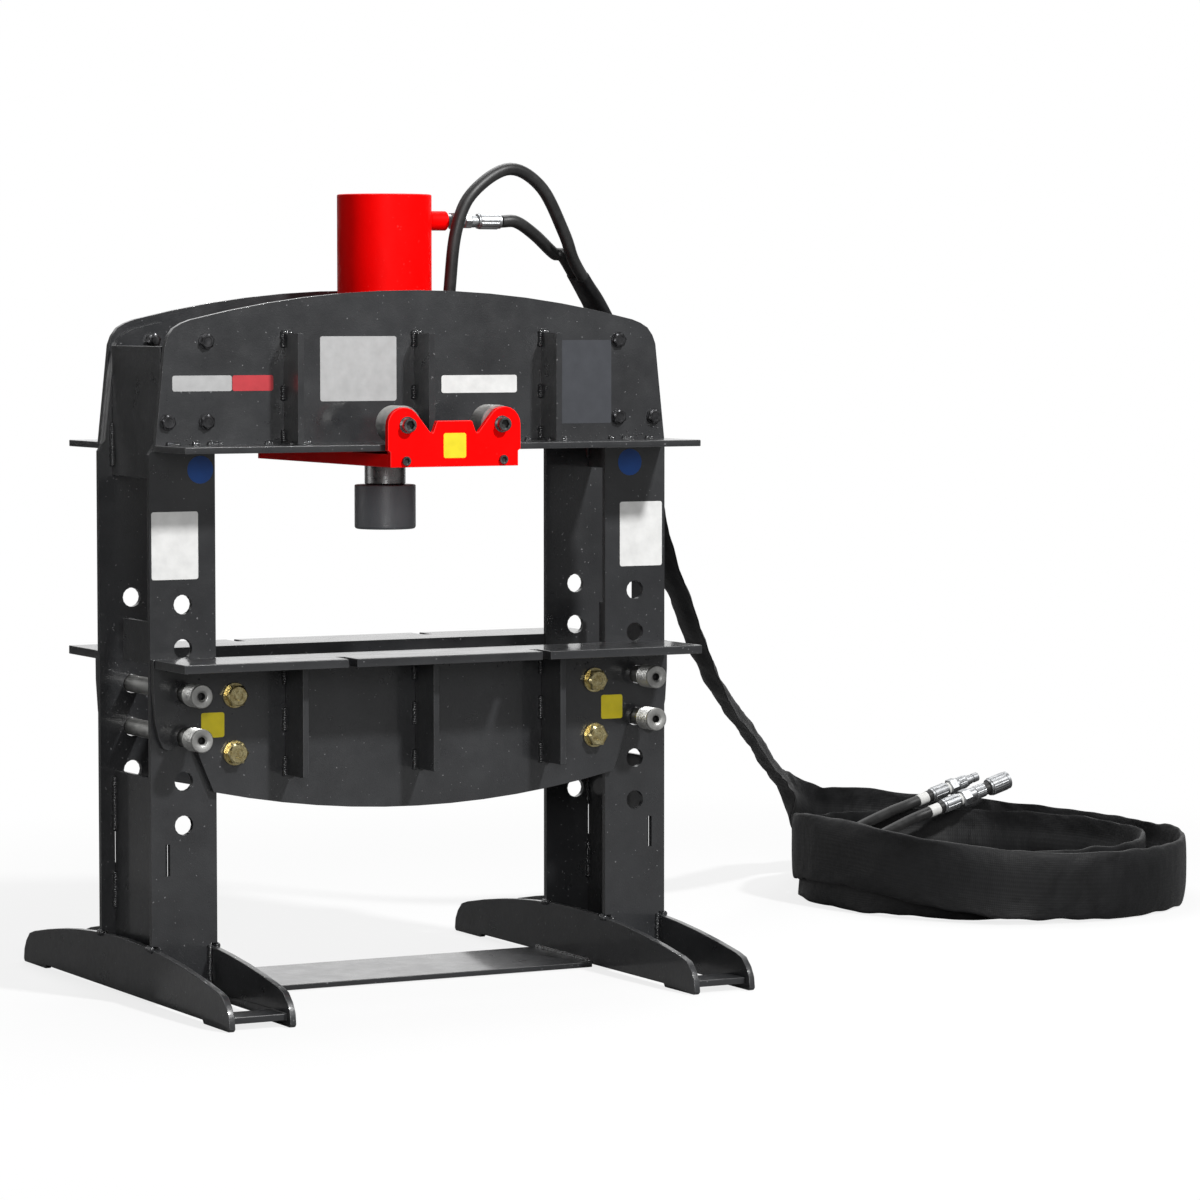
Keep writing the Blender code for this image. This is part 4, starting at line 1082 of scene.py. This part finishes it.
def makeSpatter(tree):
    dice = random.Random(spatterLook["seed"])
    bm = bmesh.new()
    bmesh.ops.create_icosphere(bm, subdivisions=1, radius=1.0)
    # the drops take the lighter edge paint: a painted highlight on the spatter
    drop = bpy.data.objects.new("drop", meshFrom(bm, "drop", [finish["edge"]], 80))
    bpy.context.scene.collection.objects.link(drop)
    beamTop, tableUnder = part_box("beam_flange_front")[1].z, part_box("table_flange_front")[1].z - 0.0125
    reach = min(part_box(n)[1].x for n in ("beam_plate_front", "table_plate_front")) - 0.006
    points = []
    for _ in range(spatterLook["count"]):
        beam = dice.random() < 0.6
        mid = dice.choice(weldLook["ribs"] + spatterLook["places"]) + dice.gauss(0, 0.02)
        mid = min(max(mid, -reach), reach)
        front = dice.random() < 0.6
        if beam:
            z = beamTop + 0.001 + abs(dice.gauss(0, 0.01))
        else:
            z = tableUnder - 0.0015 - abs(dice.gauss(0, 0.016))
        y = plateFace("beam" if beam else "table", "front" if front else "rear")
        size = dice.uniform(0.0005, 0.0017)
        points.append(((mid, y, z), (0, 0, dice.uniform(0, 3)), (size, size * 0.8, size)))
    mesh = grown("weldSpatter", pointMesh(points), tree, {"Part": drop, "Finish": finish["edge"]})
    bpy.data.objects.remove(drop, do_unlink=True)
    place("weldSpatter", mesh, "frame", "frame_paint")


scatter = scatterTree()
makeBeamBolts(scatter)
makeCarriageScrews()
makeWelds(beadTree())
makeSpatter(scatter)
print("stage: bolts and welds")

# plain stickers

stickerLook = {"thick": 0.0004, "corner": 0.0035}
stickers = [
    ("stripGrey", "beam", (-0.3405, 0.891), (0.092, 0.0225), "labelGrey"),
    ("stripRed", "beam", (-0.2617, 0.891), (0.064, 0.0225), "labelRed"),
    ("platePlain", "beam", (-0.0946, 0.9106), (0.122, 0.094), "labelGrey"),
    ("barPale", "beam", (0.1015, 0.887), (0.124, 0.026), "labelWhite"),
    ("panelDark", "beam", (0.279, 0.889), (0.086, 0.124), "labelDark"),
    ("patchLeft", "upright_left_front", (-0.38, 0.6595), (0.072, 0.097), "labelWhite"),
    ("patchRight", "upright_right_front", (0.378, 0.6595), (0.072, 0.097), "labelWhite"),
    ("discLeft", "upright_left_front", (-0.34, 0.7676), (0.04, 0.04), "labelBlue"),
    ("discRight", "upright_right_front", (0.359, 0.7676), (0.04, 0.04), "labelBlue"),
    ("tabLeft", "table", (-0.327, 0.401), (0.036, 0.036), "labelYellow"),
    ("tabRight", "table", (0.323, 0.401), (0.036, 0.036), "labelYellow"),
    ("tabCarriage", "carriage", (0.0, 0.801), (0.036, 0.036), "labelYellow"),
]


def roundedOutline(wide, tall, radius, per=6):
    out = []
    for cx, cz, start in ((1, 1, 0), (-1, 1, 90), (-1, -1, 180), (1, -1, 270)):
        for k in range(per + 1):
            a = math.radians(start + 90 * k / per)
            out.append((cx * (wide / 2 - radius) + radius * math.cos(a),
                        cz * (tall / 2 - radius) + radius * math.sin(a)))
    return out


def makeStickers():
    faces = {"carriage": "carriage_plate_front"}
    for name, where, (x, z), (wide, tall), look in stickers:
        y = plateFace(where, "front") if where in ("beam", "table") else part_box(faces.get(where, where))[0].y
        radius = wide / 2 - 0.0001 if name.startswith("disc") else stickerLook["corner"]
        bm = bmesh.new()
        front = [bm.verts.new((x + a, y - stickerLook["thick"], z + b))
                 for a, b in roundedOutline(wide, tall, radius)]
        back = [bm.verts.new((v.co.x, y + 0.0001, v.co.z)) for v in front]
        bm.faces.new(front)
        bm.faces.new(list(reversed(back)))
        for i in range(len(front)):
            j = (i + 1) % len(front)
            bm.faces.new((front[i], front[j], back[j], back[i]))
        body = "carriage" if where == "carriage" else "frame"
        slotName = "red_paint" if where == "carriage" else "frame_paint"
        place(name, meshFrom(bm, name, [finish[look]]), body, slotName)


makeStickers()
print("stage: stickers")
